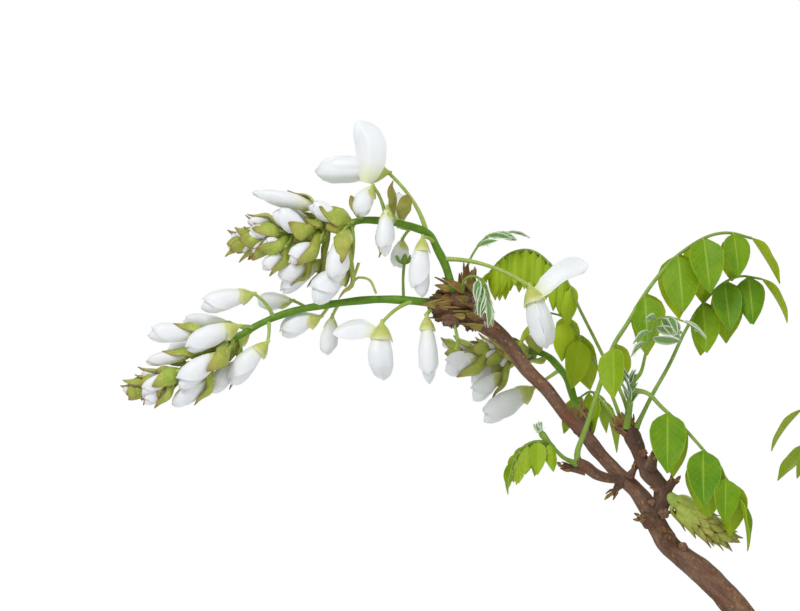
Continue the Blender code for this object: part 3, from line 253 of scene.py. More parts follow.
# Camera of the photograph: 1.5 m in front, with the lens that sees 296 mm across
CAMERA_AWAY, SEEN_WIDTH, SENSOR_WIDTH = 1500.0, 296.0, 36.0
CAMERA_PLACE = (-0.15785, -CAMERA_AWAY * MM, 0.3352)
LIGHT_AIM = (-0.10, 0.0, 0.30)
LIGHTS = [
    ("key", (-0.75, -1.0, 1.35), 0.5, 10.5),
    ("fill", (1.1, -0.9, 0.7), 1.0, 3.4),
    ("back", (0.3, 1.3, 1.1), 0.8, 7.0),
]
SKY_STRENGTH = 0.54
FLOOR_SIDES, FLOOR_LEVEL = 96, -0.0003


# ---------------------------------------------------------------- lines and grids
def unit(vector):
    """The vector, or each row of an array, at length 1."""
    vector = np.asarray(vector, float)
    return vector / np.maximum(np.linalg.norm(vector, axis=-1, keepdims=True), 1e-12)


def resample(line, count):
    """The same line with evenly spaced points."""
    reach = np.r_[0, np.cumsum(np.linalg.norm(np.diff(line, axis=0), axis=1))]
    places = np.linspace(0, reach[-1], count)
    return np.column_stack([np.interp(places, reach, line[:, axis]) for axis in range(3)])


def smooth_line(points, count):
    """Evenly spaced points on the Catmull-Rom curve through the given ones."""
    p = np.asarray(points, float)
    p = np.vstack([2 * p[0] - p[1], p, 2 * p[-1] - p[-2]])
    place = np.linspace(0, len(p) - 3, 24 * (len(p) - 3) + 1)
    span = np.minimum(place.astype(int), len(p) - 4)
    f = (place - span)[:, None]
    a, b, c, d = p[span], p[span + 1], p[span + 2], p[span + 3]
    fine = 0.5 * (2 * b + (c - a) * f + (2 * a - 5 * b + 4 * c - d) * f**2 + (3 * b - a - 3 * c + d) * f**3)
    return resample(fine, count)


def length_of(line):
    """The line's length, the sum of its steps."""
    return float(np.linalg.norm(np.diff(line, axis=0), axis=1).sum())


def frames(line):
    """Tangent, side and up at each point, turned as little as possible from one to the next."""
    tangent = unit(np.gradient(line, axis=0))
    side = np.empty_like(line)
    last = np.array([0.0, 1.0, 0.0])
    for k, along in enumerate(tangent):
        last = last - along * last.dot(along)
        if np.linalg.norm(last) < 1e-6:
            last = np.cross(along, (0.3, 0.2, 0.9))
        last = unit(last)
        side[k] = last
    return tangent, side, np.cross(tangent, side)


def eased(places, knots, values):
    """Values at the places on a smooth curve through the knots: the straight one averaged twice."""
    fine = np.linspace(knots[0], knots[-1], 161)
    curve = np.interp(fine, knots, values)
    for _ in range(2):
        curve[2:-2] = (curve[:-4] + curve[1:-3] + curve[2:-2] + curve[3:-1] + curve[4:]) / 5
    return np.interp(places, fine, curve)


def closed(rings):
    """Rings with one more at each end that is drawn together to a point."""
    first = np.broadcast_to(rings[0].mean(0), rings[0].shape)
    last = np.broadcast_to(rings[-1].mean(0), rings[-1].shape)
    return np.concatenate([first[None], rings, last[None]])


def ring_faces(rows, cols):
    """Four-cornered faces between each ring of points and the next, closed round each ring."""
    index = np.arange(rows * cols).reshape(rows, cols)
    index = np.hstack([index, index[:, :1]])
    faces = np.stack([index[:-1, :-1], index[:-1, 1:], index[1:, 1:], index[1:, :-1]], axis=-1)
    return faces.reshape(-1, 4)


LATTICE_SIZE = 64
LATTICE = np.random.default_rng(11).random((LATTICE_SIZE, LATTICE_SIZE))


def cell_noise(x, y, around=LATTICE_SIZE):
    """Random values on a square lattice, blended by f*f*(3-2f); it repeats in x after so many cells."""
    i, j = np.floor(x).astype(int), np.floor(y).astype(int)
    f, g = x - i, y - j
    f, g = f * f * (3 - 2 * f), g * g * (3 - 2 * g)
    i0, i1, j0, j1 = i % around, (i + 1) % around, j % LATTICE_SIZE, (j + 1) % LATTICE_SIZE
    low = LATTICE[i0, j0] * (1 - f) + LATTICE[i1, j0] * f
    high = LATTICE[i0, j1] * (1 - f) + LATTICE[i1, j1] * f
    return low * (1 - g) + high * g


class Bundle:
    """One piece in the making: points in millimetres, faces with a finish each, and four marks a point.

    The marks are the place along the part (0 foot, 1 tip), the place across it (0.5 on its middle
    line), its own tone, and its age or side.
    """

    def __init__(self):
        """An empty bundle."""
        self.points, self.marks, self.faces, self.finishes, self.total = [], [], [], [], 0

    def add(self, points, faces, finish, marks):
        """Take in a part: its points, its faces, the number of its finish and its marks."""
        self.points.append(points)
        self.marks.append(marks)
        self.faces.append(faces + self.total)
        self.finishes.append(np.full(len(faces), finish))
        self.total += len(points)

    def wrapped(self, rings, finish, along, across, tone, age):
        """Rings of points joined into one closed skin."""
        rows, cols = rings.shape[:2]
        marks = np.empty((rows, cols, 4))
        marks[..., 0] = np.asarray(along).reshape(-1, 1)
        marks[..., 1] = across
        marks[..., 2] = tone
        marks[..., 3] = age
        self.add(rings.reshape(-1, 3), ring_faces(rows, cols), finish, marks.reshape(-1, 4))

    def tube(self, line, radii, sides, finish, tone=0.5):
        """A round bar: centre(u) + r(u) * (cos a * side(u) + sin a * up(u)), pointed at both ends."""
        _, side, up = frames(line)
        radii = np.interp(np.linspace(0, 1, len(line)), np.linspace(0, 1, len(radii)), radii)
        angle = 2 * np.pi * np.arange(sides) / sides
        ring = np.cos(angle)[:, None] * side[:, None] + np.sin(angle)[:, None] * up[:, None]
        rings = line[:, None] + radii[:, None, None] * ring
        along = np.linspace(0, 1, len(line))
        self.wrapped(closed(rings), finish, np.r_[0, along, 1], angle / (2 * np.pi), tone, 0.0)

    def sheet(self, grid, thick, finish, tone=0.5, age=(0.0, 0.0)):
        """A closed thin sheet: the grid moved half the thickness each way along its normals.

        age gives the mark of the upper and of the lower side.
        """
        normal = np.cross(np.gradient(grid, axis=0), np.gradient(grid, axis=1))
        normal = unit(normal)
        ring = np.concatenate([grid + normal * thick / 2, (grid - normal * thick / 2)[:, ::-1]], axis=1)
        rows, cols = grid.shape[:2]
        across = np.linspace(0, 1, cols)
        along = np.linspace(0, 1, rows)
        self.wrapped(closed(ring), finish, np.r_[0, along, 1], np.r_[across, across[::-1]], tone,
                     np.repeat(age, cols))

    def scatter(self, shape, faces, places, sizes, turns, finish, tones, ages):
        """Copies of a small shape: place + size * turn @ shape, all at once."""
        points = places[:, None] + sizes[:, None, None] * np.einsum("nij,kj->nki", turns, shape)
        count, each = points.shape[:2]
        marks = np.zeros((count, each, 4))
        marks[..., 0] = shape[:, 2]
        marks[..., 2] = np.asarray(tones)[:, None]
        marks[..., 3] = np.asarray(ages)[:, None]
        index = faces[None] + (np.arange(count) * each)[:, None, None]
        self.add(points.reshape(-1, 3), index.reshape(-1, faces.shape[1]), finish, marks.reshape(-1, 4))

    def build(self, name, materials, sharp=65.0):
        """The mesh object: doubles merged, faces turned outwards, edges past the sharp angle kept crisp."""
        mesh = bpy.data.meshes.new(name)
        points = np.concatenate(self.points) * MM
        sizes = np.concatenate([np.full(len(f), f.shape[1]) for f in self.faces])
        corners = np.concatenate([f.reshape(-1) for f in self.faces])
        mesh.vertices.add(len(points))
        mesh.vertices.foreach_set("co", points.astype(np.float32).reshape(-1))
        mesh.loops.add(len(corners))
        mesh.loops.foreach_set("vertex_index", corners.astype(np.int32))
        mesh.polygons.add(len(sizes))
        mesh.polygons.foreach_set("loop_start", np.r_[0, np.cumsum(sizes)[:-1]].astype(np.int32))
        mesh.polygons.foreach_set("material_index", np.concatenate(self.finishes).astype(np.int32))
        mesh.update(calc_edges=True)
        marks = mesh.attributes.new("marks", "FLOAT_COLOR", "POINT")
        marks.data.foreach_set("color", np.concatenate(self.marks).astype(np.float32).reshape(-1))
        shell = bmesh.new()
        shell.from_mesh(mesh)
        bmesh.ops.remove_doubles(shell, verts=shell.verts, dist=1e-6)
        bmesh.ops.recalc_face_normals(shell, faces=shell.faces)
        shell.to_mesh(mesh)
        shell.free()
        mesh.polygons.foreach_set("use_smooth", np.ones(len(mesh.polygons), bool))
        mesh.set_sharp_from_angle(angle=math.radians(sharp))
        for finish in materials:
            mesh.materials.append(finish)
        piece = bpy.data.objects.new(name, mesh)
        bpy.context.scene.collection.objects.link(piece)
        return piece


def blade_grid(spine, across, half_widths, cols, lift):
    """Point(u, v) = spine(u) + w(u) * (v * across(u) + lift(u, v) * normal(u)), v from -1 to 1."""
    tangent = unit(np.gradient(spine, axis=0))
    across = np.broadcast_to(np.asarray(across, float), spine.shape)
    across = unit(across - tangent * (tangent * across).sum(1, keepdims=True))
    normal = np.cross(tangent, across)
    v = np.linspace(-1, 1, cols)
    u = np.linspace(0, 1, len(spine))
    height = lift(u[:, None], v[None, :]) * np.ones((len(spine), cols))
    widths = np.asarray(half_widths)[:, None, None]
    return spine[:, None] + widths * (v[None, :, None] * across[:, None] + height[..., None] * normal[:,
                                                                                                      None])


# ---------------------------------------------------------------- materials
def new_material(name, roughness, **sockets):
    """A material, its tree and its shader; the shader's other sockets are named with underscores."""
    made = bpy.data.materials.new(name)
    made.use_nodes = True
    shader = made.node_tree.nodes["Principled BSDF"]
    shader.inputs["Roughness"].default_value = roughness
    for socket, value in sockets.items():
        shader.inputs[socket.replace("_", " ")].default_value = value
    return made, made.node_tree, shader


def put(tree, kind, values=None, links=None, **settings):
    """A node with its settings, its socket values and what is linked into it."""
    made = tree.nodes.new(kind)
    for key, value in settings.items():
        setattr(made, key, value)
    for key, value in (values or {}).items():
        made.inputs[key].default_value = value
    for key, output in (links or {}).items():
        tree.links.new(output, made.inputs[key])
    return made


def maths(tree, operation, first, second=None, third=None, clamp=False):
    """A math node; each input is a number or another node's output."""
    made = tree.nodes.new("ShaderNodeMath")
    made.operation = operation
    made.use_clamp = clamp
    for socket, value in zip(made.inputs, (first, second, third)):
        if value is None:
            continue
        if isinstance(value, (int, float)):
            socket.default_value = value
        else:
            tree.links.new(value, socket)
    return made.outputs[0]


def mixed(tree, share, first, second):
    """The two colours mixed by the share; a colour is a tuple or another node's output."""
    made = tree.nodes.new("ShaderNodeMix")
    made.data_type = "RGBA"
    for socket, value in ((made.inputs[0], share), (made.inputs[6], first), (made.inputs[7], second)):
        if isinstance(value, tuple):
            socket.default_value = (*value, 1.0)
        elif isinstance(value, (int, float)):
            socket.default_value = value
        else:
            tree.links.new(value, socket)
    return made.outputs[2]


def ranged(tree, value, low, high, to_low=0.0, to_high=1.0):
    """The value carried smoothly from low..high to to_low..to_high."""
    made = put(tree, "ShaderNodeMapRange", {1: low, 2: high, 3: to_low, 4: to_high}, {0: value})
    made.interpolation_type = "SMOOTHSTEP"
    return made.outputs[0]


def marks_of(tree):
    """The piece's marks: the vector, then along, across, tone and age."""
    node = put(tree, "ShaderNodeAttribute", attribute_name="marks")
    parts = put(tree, "ShaderNodeSeparateColor", links={0: node.outputs["Color"]})
    return node.outputs["Vector"], *parts.outputs[:3], node.outputs["Alpha"]


def object_place(tree):
    """The point's own place on the piece."""
    return put(tree, "ShaderNodeTexCoord").outputs["Object"]


def new_group(name, inputs, outputs):
    """An empty node group with its sockets, and its input and output nodes."""
    tree = bpy.data.node_groups.new(name, "ShaderNodeTree")
    for label, kind, value in inputs:
        socket = tree.interface.new_socket(label, in_out="INPUT", socket_type=kind)
        if value is not None:
            socket.default_value = value
    for label, kind in outputs:
        tree.interface.new_socket(label, in_out="OUTPUT", socket_type=kind)
    return tree, tree.nodes.new("NodeGroupInput"), tree.nodes.new("NodeGroupOutput")


def mottle_group():
    """Cloudy patches of two sizes: 0.65 noise(Scale) + 0.35 noise(5 Scale), pulled apart by Contrast."""
    tree, start, end = new_group(
        "mottle",
        [("Vector", "NodeSocketVector", None), ("Scale", "NodeSocketFloat", 100.0),
         ("Contrast", "NodeSocketFloat", 0.2)],
        [("Mask", "NodeSocketFloat")])
    broad = put(tree, "ShaderNodeTexNoise", {"Detail": 3.0}, {"Vector": start.outputs["Vector"],
                                                               "Scale": start.outputs["Scale"]})
    finer = maths(tree, "MULTIPLY", start.outputs["Scale"], 5.0)
    fine = put(tree, "ShaderNodeTexNoise", {"Detail": 2.0},
               {"Vector": start.outputs["Vector"], "Scale": finer})
    both = maths(tree, "MULTIPLY_ADD", fine.outputs["Fac"], 0.35,
                 maths(tree, "MULTIPLY", broad.outputs["Fac"], 0.65))
    low = maths(tree, "SUBTRACT", 0.5, start.outputs["Contrast"])
    high = maths(tree, "ADD", 0.5, start.outputs["Contrast"])
    stretched = put(tree, "ShaderNodeMapRange", links={0: both, 1: low, 2: high})
    tree.links.new(stretched.outputs[0], end.inputs["Mask"])
    return tree


def vein_group():
    """Side veins that rise from a middle line: Mask is 1 where Along * Count + |Across| * Slope is whole."""
    tree, start, end = new_group(
        "veins",
        [("Along", "NodeSocketFloat", 0.0), ("Across", "NodeSocketFloat", 0.5),
         ("Count", "NodeSocketFloat", 9.0), ("Slope", "NodeSocketFloat", 2.0),
         ("Width", "NodeSocketFloat", 0.15)],
        [("Mask", "NodeSocketFloat"), ("Midrib", "NodeSocketFloat"), ("Edge", "NodeSocketFloat")])
    away = maths(tree, "ABSOLUTE", maths(tree, "MULTIPLY_ADD", start.outputs["Across"], 2.0, -1.0))
    climb = maths(tree, "MULTIPLY", away, start.outputs["Slope"])
    turn = maths(tree, "SUBTRACT",
                 maths(tree, "MULTIPLY", start.outputs["Along"], start.outputs["Count"]), climb)
    gap = maths(tree, "ABSOLUTE", maths(tree, "SUBTRACT", maths(tree, "FRACT", turn), 0.5))
    line = put(tree, "ShaderNodeMapRange", {2: 0.0, 3: 0.0, 4: 1.0}, {0: gap, 1: start.outputs["Width"]})
    rib = put(tree, "ShaderNodeMapRange", {1: 0.09, 2: 0.02, 3: 0.0, 4: 1.0}, {0: away})
    tree.links.new(line.outputs[0], end.inputs["Mask"])
    tree.links.new(rib.outputs[0], end.inputs["Midrib"])
    tree.links.new(away, end.inputs["Edge"])
    return tree


MOTTLE, VEINS = mottle_group(), vein_group()


def mottle(tree, vector, scale, contrast=0.2):
    """The mottle group's mask at this scale and contrast."""
    node = put(tree, "ShaderNodeGroup", node_tree=MOTTLE)
    tree.links.new(vector, node.inputs["Vector"])
    node.inputs["Scale"].default_value = scale
    node.inputs["Contrast"].default_value = contrast
    return node.outputs["Mask"]


def veins(tree, along, across, count, slope, width):
    """The vein group's masks: the side veins, the midrib, and how near the edge is."""
    node = put(tree, "ShaderNodeGroup", {"Count": count, "Slope": slope, "Width": width},
               {"Along": along, "Across": across}, node_tree=VEINS)
    return node.outputs


def bumped(tree, shader, height, strength, distance):
    """Fine relief by this height, in the shader's normal."""
    bump = put(tree, "ShaderNodeBump", {"Strength": strength, "Distance": distance}, {"Height": height})
    tree.links.new(bump.outputs["Normal"], shader.inputs["Normal"])


def petal_material():
    """White, creamy green at the foot, faintly veined; young buds blush towards the tip."""
    made, tree, shader = new_material("petal_white", 0.45, Subsurface_Weight=0.12, Subsurface_Scale=0.0006,
                                      Subsurface_Radius=(1.0, 0.95, 0.9), Sheen_Weight=0.1)
    _, along, across, _, age = marks_of(tree)
    cloud = mottle(tree, object_place(tree), 160.0, 0.25)
    line = veins(tree, along, across, 1.0, 9.0, 0.22)
    white = mixed(tree, cloud, (0.85, 0.865, 0.885), (0.925, 0.93, 0.94))
    white = mixed(tree, maths(tree, "MULTIPLY", line["Mask"], 0.16), white, (0.83, 0.84, 0.86))
    foot = ranged(tree, along, 0.42, 0.05)
    cream = mixed(tree, maths(tree, "MULTIPLY", foot, 0.75), white, (0.80, 0.84, 0.48))
    blush = maths(tree, "MULTIPLY", maths(tree, "MULTIPLY", age, ranged(tree, along, 0.35, 0.95)), 0.55)
    colour = mixed(tree, blush, cream, (0.84, 0.70, 0.68))
    tree.links.new(colour, shader.inputs["Base Color"])
    ribs = maths(tree, "ADD", line["Mask"], maths(tree, "MULTIPLY", cloud, 0.8))
    bumped(tree, shader, ribs, 0.14, 0.0002)
    return made


def calyx_material():
    """Pale yellow-green cup, pinkish olive in patches."""
    made, tree, shader = new_material("calyx_green", 0.5)
    _, along, _, tone, _ = marks_of(tree)
    cloud = mottle(tree, object_place(tree), 420.0, 0.2)
    base = mixed(tree, cloud, (0.46, 0.50, 0.07), (0.66, 0.68, 0.22))
    base = mixed(tree, ranged(tree, tone, 0.4, 1.0, 0.0, 0.5), base, (0.42, 0.36, 0.10))
    base = mixed(tree, ranged(tree, along, 0.55, 1.0, 0.0, 0.6), base, (0.80, 0.80, 0.50))
    tree.links.new(mixed(tree, ranged(tree, along, 0.5, 0.0, 0.0, 0.5), base, (0.40, 0.52, 0.10)),
                   shader.inputs["Base Color"])
    bumped(tree, shader, cloud, 0.3, 0.0002)
    return made


def stalk_material():
    """Fresh green stalks, paler and yellower where they are thin."""
    made, tree, shader = new_material("stalk_green", 0.45, Specular_IOR_Level=0.35)
    *_, tone, _ = marks_of(tree)
    cloud = mottle(tree, object_place(tree), 300.0, 0.22)
    deep = mixed(tree, cloud, (0.065, 0.18, 0.005), (0.17, 0.33, 0.010))
    pale = mixed(tree, cloud, (0.33, 0.46, 0.07), (0.52, 0.62, 0.17))
    tree.links.new(mixed(tree, tone, deep, pale), shader.inputs["Base Color"])
    bumped(tree, shader, cloud, 0.35, 0.0002)
    return made


def bract_material():
    """Olive scales: green at the foot, brown along the margin and dark at the point."""
    made, tree, shader = new_material("bract_olive", 0.5, Specular_IOR_Level=0.35)
    _, along, across, tone, age = marks_of(tree)
    cloud = mottle(tree, object_place(tree), 350.0, 0.2)
    line = veins(tree, along, across, 2.0, 6.0, 0.25)
    olive = mixed(tree, cloud, (0.33, 0.43, 0.03), (0.64, 0.71, 0.15))
    patch = mottle(tree, object_place(tree), 130.0, 0.12)
    olive = mixed(tree, maths(tree, "MULTIPLY", patch, 0.6), olive, (0.19, 0.33, 0.02))
    olive = mixed(tree, maths(tree, "MULTIPLY", tone, 0.6), olive, (0.46, 0.38, 0.07))
    olive = mixed(tree, ranged(tree, along, 0.55, 1.0, 0.0, 0.5), olive, (0.40, 0.27, 0.07))
    olive = mixed(tree, maths(tree, "MULTIPLY", line["Mask"], 0.3), olive, (0.66, 0.70, 0.24))
    olive = mixed(tree, ranged(tree, along, 0.5, 0.0, 0.0, 0.7), olive, (0.44, 0.56, 0.07))
    margin = maths(tree, "ADD", ranged(tree, line["Edge"], 0.80, 1.0),
                   ranged(tree, along, 0.84, 1.0), clamp=True)
    margin = maths(tree, "MULTIPLY", margin, maths(tree, "MULTIPLY_ADD", cloud, 0.6, 0.28), clamp=True)
    margin = maths(tree, "MAXIMUM", margin, age)
    brown = mixed(tree, cloud, (0.095, 0.034, 0.015), (0.40, 0.175, 0.065))
    tree.links.new(mixed(tree, margin, olive, brown), shader.inputs["Base Color"])
    bumped(tree, shader, maths(tree, "ADD", line["Mask"], cloud), 0.35, 0.0003)
    return made


def leaf_material(name, deep, light, vein, edge, edge_start):
    """A thin leaf: each leaflet has its own green, partly painted shade and light by its side of the rib,
    with paler veins and a lighter underside.
    """
    made, tree, shader = new_material(name, 0.48, Specular_IOR_Level=0.2)
    _, along, across, tone, age = marks_of(tree)
    cloud = mottle(tree, object_place(tree), 110.0, 0.25)
    line = veins(tree, along, across, 9.0, 2.6, 0.10)
    share = maths(tree, "MULTIPLY_ADD", cloud, 0.35, maths(tree, "MULTIPLY_ADD", tone, 0.8, -0.1), clamp=True)
    green = mixed(tree, share, deep, light)
    green = mixed(tree, maths(tree, "MULTIPLY", age, 0.45), green, light)
    mask = maths(tree, "MAXIMUM", maths(tree, "MULTIPLY", line["Mask"], 0.22),
                 maths(tree, "MULTIPLY", line["Midrib"], 0.55))
    green = mixed(tree, mask, green, vein)
    rim = ranged(tree, line["Edge"], edge_start, 1.0)
    tree.links.new(mixed(tree, rim, green, edge), shader.inputs["Base Color"])
    bumped(tree, shader, maths(tree, "SUBTRACT", maths(tree, "MULTIPLY", cloud, 0.4), mask), 0.5, 0.0003)
    return made


def silk_material():
    """Fine white hairs, greener at the foot."""
    made, tree, shader = new_material("silky_hair", 0.35, Sheen_Weight=0.3)
    _, along, *_ = marks_of(tree)
    tree.links.new(mixed(tree, along, (0.62, 0.72, 0.42), (0.88, 0.90, 0.84)), shader.inputs["Base Color"])
    return made


def bark_material():
    """Brown bark: streaks along the limb, reddish and grey patches, pale lenticels, dark in the cracks.

    The marks hold the limb's own space: across, across, along, and how rough and dark it is.
    """
    made, tree, shader = new_material("bark", 0.82)
    limb, _, _, _, age = marks_of(tree)
    drawn = put(tree, "ShaderNodeMapping", links={"Vector": limb})
    drawn.inputs["Scale"].default_value = (1.0, 1.0, 0.16)
    streak = mottle(tree, drawn.outputs[0], 330.0, 0.15)
    patch = mottle(tree, object_place(tree), 130.0, 0.13)
    grain = mottle(tree, object_place(tree), 900.0, 0.14)
    brown = mixed(tree, streak, (0.080, 0.032, 0.016), (0.38, 0.19, 0.10))
    brown = mixed(tree, maths(tree, "MULTIPLY", patch, 0.24), brown, (0.36, 0.27, 0.20))
    red = ranged(tree, patch, 0.5, 0.1, 0.0, 0.6)
    brown = mixed(tree, red, brown, (0.28, 0.085, 0.035))
    squashed = put(tree, "ShaderNodeMapping", links={"Vector": limb})
    squashed.inputs["Scale"].default_value = (1.0, 1.0, 0.55)
    dots = put(tree, "ShaderNodeTexVoronoi", {"Scale": 480.0, "Randomness": 1.0},
               {"Vector": squashed.outputs[0]}, voronoi_dimensions="3D")
    dot = ranged(tree, dots.outputs["Distance"], 0.26, 0.16)
    dot = maths(tree, "MULTIPLY", dot, ranged(tree, age, 0.5, 0.2))
    brown = mixed(tree, maths(tree, "MULTIPLY", dot, 0.55), brown, (0.62, 0.36, 0.17))
    brown = mixed(tree, maths(tree, "MULTIPLY", age, 0.65), brown, (0.07, 0.035, 0.022))
    tree.links.new(mixed(tree, maths(tree, "MULTIPLY", grain, 0.48), brown, (0.06, 0.028, 0.016)),
                   shader.inputs["Base Color"])
    height = maths(tree, "ADD", maths(tree, "MULTIPLY", streak, 1.2), maths(tree, "MULTIPLY", grain, 0.5))
    bumped(tree, shader, maths(tree, "ADD", height, dot), 0.7, 0.0004)
    return made


def clay_material():
    """Unglazed brown clay: cloudy firing, fine grit, a rubbed rim and a pale bloom low on the wall."""
    made, tree, shader = new_material("unglazed_clay", 0.75)
    place = object_place(tree)
    cloud = mottle(tree, place, 14.0, 0.16)
    grit = mottle(tree, place, 900.0, 0.1)
    clay = mixed(tree, cloud, (0.105, 0.048, 0.030), (0.215, 0.100, 0.058))
    clay = mixed(tree, maths(tree, "MULTIPLY", grit, 0.6), clay, (0.31, 0.18, 0.115))
    height = put(tree, "ShaderNodeSeparateXYZ", links={0: place}).outputs["Z"]
    rim = ranged(tree, height, 0.060, 0.0638)
    clay = mixed(tree, maths(tree, "MULTIPLY", rim, 0.4), clay, (0.30, 0.165, 0.105))
    bloom = maths(tree, "MULTIPLY", ranged(tree, height, 0.016, 0.001), ranged(tree, cloud, 0.4, 0.9))
    tree.links.new(mixed(tree, maths(tree, "MULTIPLY", bloom, 0.35), clay, (0.42, 0.36, 0.30)),
                   shader.inputs["Base Color"])
    drawn = put(tree, "ShaderNodeMapping", links={"Vector": place})
    drawn.inputs["Scale"].default_value = (1.0, 1.0, 14.0)
    rings = mottle(tree, drawn.outputs[0], 40.0, 0.3)
    both = maths(tree, "ADD", maths(tree, "MULTIPLY", rings, 0.5), maths(tree, "MULTIPLY", grit, 0.7))
    bumped(tree, shader, both, 0.35, 0.0004)
    tree.links.new(maths(tree, "MULTIPLY_ADD", cloud, 0.18, 0.62), shader.inputs["Roughness"])
    return made


def soil_material():
    """Dark earth with moss: the age mark is the share of moss."""
    made, tree, shader = new_material("soil", 0.95)
    *_, age = marks_of(tree)
    grit = mottle(tree, object_place(tree), 500.0, 0.18)
    earth = mixed(tree, grit, (0.028, 0.017, 0.010), (0.12, 0.07, 0.04))
    moss = mixed(tree, grit, (0.030, 0.070, 0.008), (0.14, 0.21, 0.025))
    tree.links.new(mixed(tree, age, earth, moss), shader.inputs["Base Color"])
    bumped(tree, shader, grit, 0.9, 0.0008)
    return made


def grain_material():
    """Baked clay grains: tan to brown, each its own."""
    made, tree, shader = new_material("soil_grain", 0.9)
    *_, tone, _ = marks_of(tree)
    grit = mottle(tree, object_place(tree), 900.0, 0.2)
    grain = mixed(tree, tone, (0.075, 0.040, 0.022), (0.34, 0.19, 0.09))
    tree.links.new(mixed(tree, maths(tree, "MULTIPLY", grit, 0.5), grain, (0.10, 0.06, 0.035)),
                   shader.inputs["Base Color"])
    bumped(tree, shader, grit, 0.5, 0.0003)
    return made


def moss_material():
    """Moss tips, yellower towards the point, each its own green."""
    made, tree, shader = new_material("moss_tuft", 0.8, Sheen_Weight=0.2)
    _, along, _, tone, _ = marks_of(tree)
    deep = mixed(tree, tone, (0.045, 0.105, 0.010), (0.12, 0.20, 0.02))
    tree.links.new(mixed(tree, along, deep, (0.30, 0.38, 0.05)), shader.inputs["Base Color"])
    return made


def plastic_material():
    """Black moulded mesh of the drainage screens."""
    made, tree, shader = new_material("screen_plastic", 0.45)
    cloud = mottle(tree, object_place(tree), 300.0, 0.2)
    tree.links.new(mixed(tree, cloud, (0.016, 0.016, 0.017), (0.035, 0.034, 0.034)),
                   shader.inputs["Base Color"])
    tree.links.new(maths(tree, "MULTIPLY_ADD", cloud, 0.2, 0.38), shader.inputs["Roughness"])
    bumped(tree, shader, cloud, 0.2, 0.0002)
    return made


PETAL, CALYX, STALK, BRACT, SILK = range(5)
FLOWER_FINISHES = [petal_material(), calyx_material(), stalk_material(), bract_material(), silk_material()]
LEAF, YOUNG, LEAF_STALK, LEAF_SILK = range(4)
LEAF_FINISHES = [
    leaf_material("leaf_green", (0.085, 0.245, 0.002), (0.50, 0.62, 0.012), (0.42, 0.58, 0.07),
                  (0.34, 0.46, 0.03), 0.95),
    leaf_material("leaf_silvery", (0.11, 0.27, 0.05), (0.28, 0.45, 0.14), (0.55, 0.66, 0.40),
                  (0.70, 0.77, 0.60), 0.55),
    FLOWER_FINISHES[STALK], FLOWER_FINISHES[SILK],
]


# ---------------------------------------------------------------- florets
POD_PLACES = [0.0, 0.08, 0.26, 0.5, 0.74, 0.89, 0.97, 1.0]
POD_BULGE = [0.12, 0.30, 0.70, 0.98, 0.98, 0.70, 0.34, 0.06]
POD_POINTED = [0.34, 0.55, 0.86, 0.98, 0.76, 0.44, 0.18, 0.03]
DORSAL = np.array([-0.25, -0.45, 0.9])


def floret_frame(calyx, tip, turn=0.0):
    """Along the floret, its back (where the banner lies) and its side."""
    along = unit(tip - calyx)
    back = unit(DORSAL - along * DORSAL.dot(along))
    side = np.cross(along, back)
    back, side = back * math.cos(turn) + side * math.sin(turn), side * math.cos(turn) - back * math.sin(turn)
    return along, back, side


def sagging(u):
    """How far a pod has sagged: nothing up to 0.3 of its length, then by the power 1.5 of the rest."""
    return np.clip((u - 0.3) / 0.7, 0, 1) ** 1.5


def add_pod(bundle, calyx, tip, height, draw, cover, tone, age, rows=17, cols=18, pointed=False):
    """Wings and keel folded into a pod, and the banner wrapped over its back.

    Pod: axis(u) + r(u) * (cos a * back + f(a) * sin a * side), narrower towards the keel, with r
    less by 0.03 of the height. Banner: the same with r more by 0.16 mm and 0.03 of the height, and
    a little more at its edges, for |a| up to a limit that closes in at its tip. cover says how far
    along the pod the banner reaches, and 0 leaves it out.
    """
    along, back, side = floret_frame(calyx, tip, draw.uniform(-0.5, 0.5))
    reach = np.linalg.norm(tip - calyx)
    arch = back * height * draw.uniform(0.02, 0.10)
    sag = back * height * (0.17 if not cover else 0.06 if height > 6.4 and not pointed else 0.03)
    outline = POD_POINTED if pointed else POD_BULGE

    def centre(u, drop):
        """The axis: straight from calyx to tip, arched by a sine, and sagging."""
        sunk = sag * drop * sagging(u)[..., None]
        return calyx + along * (u * reach)[..., None] + arch * np.sin(np.pi * u)[..., None] - sunk

    def skin(u, a, extra, drop):
        """A point round the axis, with the radius made larger by extra."""
        radius = height / 2 * eased(u, POD_PLACES, outline) + extra
        keel = np.where(np.cos(a) < 0, 1 - 0.32 * np.cos(a) ** 2, 1.0) * 0.78
        round_axis = np.cos(a)[..., None] * back + (keel * np.sin(a))[..., None] * side
        return centre(u, drop) + radius[..., None] * round_axis

    u = np.linspace(0, 1, rows)[:, None] * np.ones((1, cols))
    angle = 2 * np.pi * np.arange(cols)[None] / cols * np.ones((rows, 1))
    rings = skin(u, angle, -0.03 * height, 1.0)
    bundle.wrapped(closed(rings), PETAL, np.r_[0, u[:, 0], 1], angle[0] / (2 * np.pi), tone, age)
    if not cover:
        return
    v = np.linspace(-1, 1, 15)[None]
    w = np.linspace(0, 1, 14)[:, None]
    limit = 2.35 * np.sqrt(np.clip(1 - w**2.6, 0.004, 1))
    flare = draw.choice((0.0, 0.01, 0.04)) * (height > 6)
    lifted = 0.16 + 0.03 * height + height * (0.05 * np.abs(v) ** 5 * w
                                              + flare * np.clip(w - 0.62, 0, 1) ** 1.5 * 3)
    lifted = lifted + 0.02 * height * np.sin(9 * w + 4 * v) * np.abs(v)
    banner = skin(0.05 + (cover - 0.05) * w + 0 * v, v * limit, lifted, -0.25)
    bundle.sheet(banner, PETAL_THICK, PETAL, tone * 0.8, (age, age))


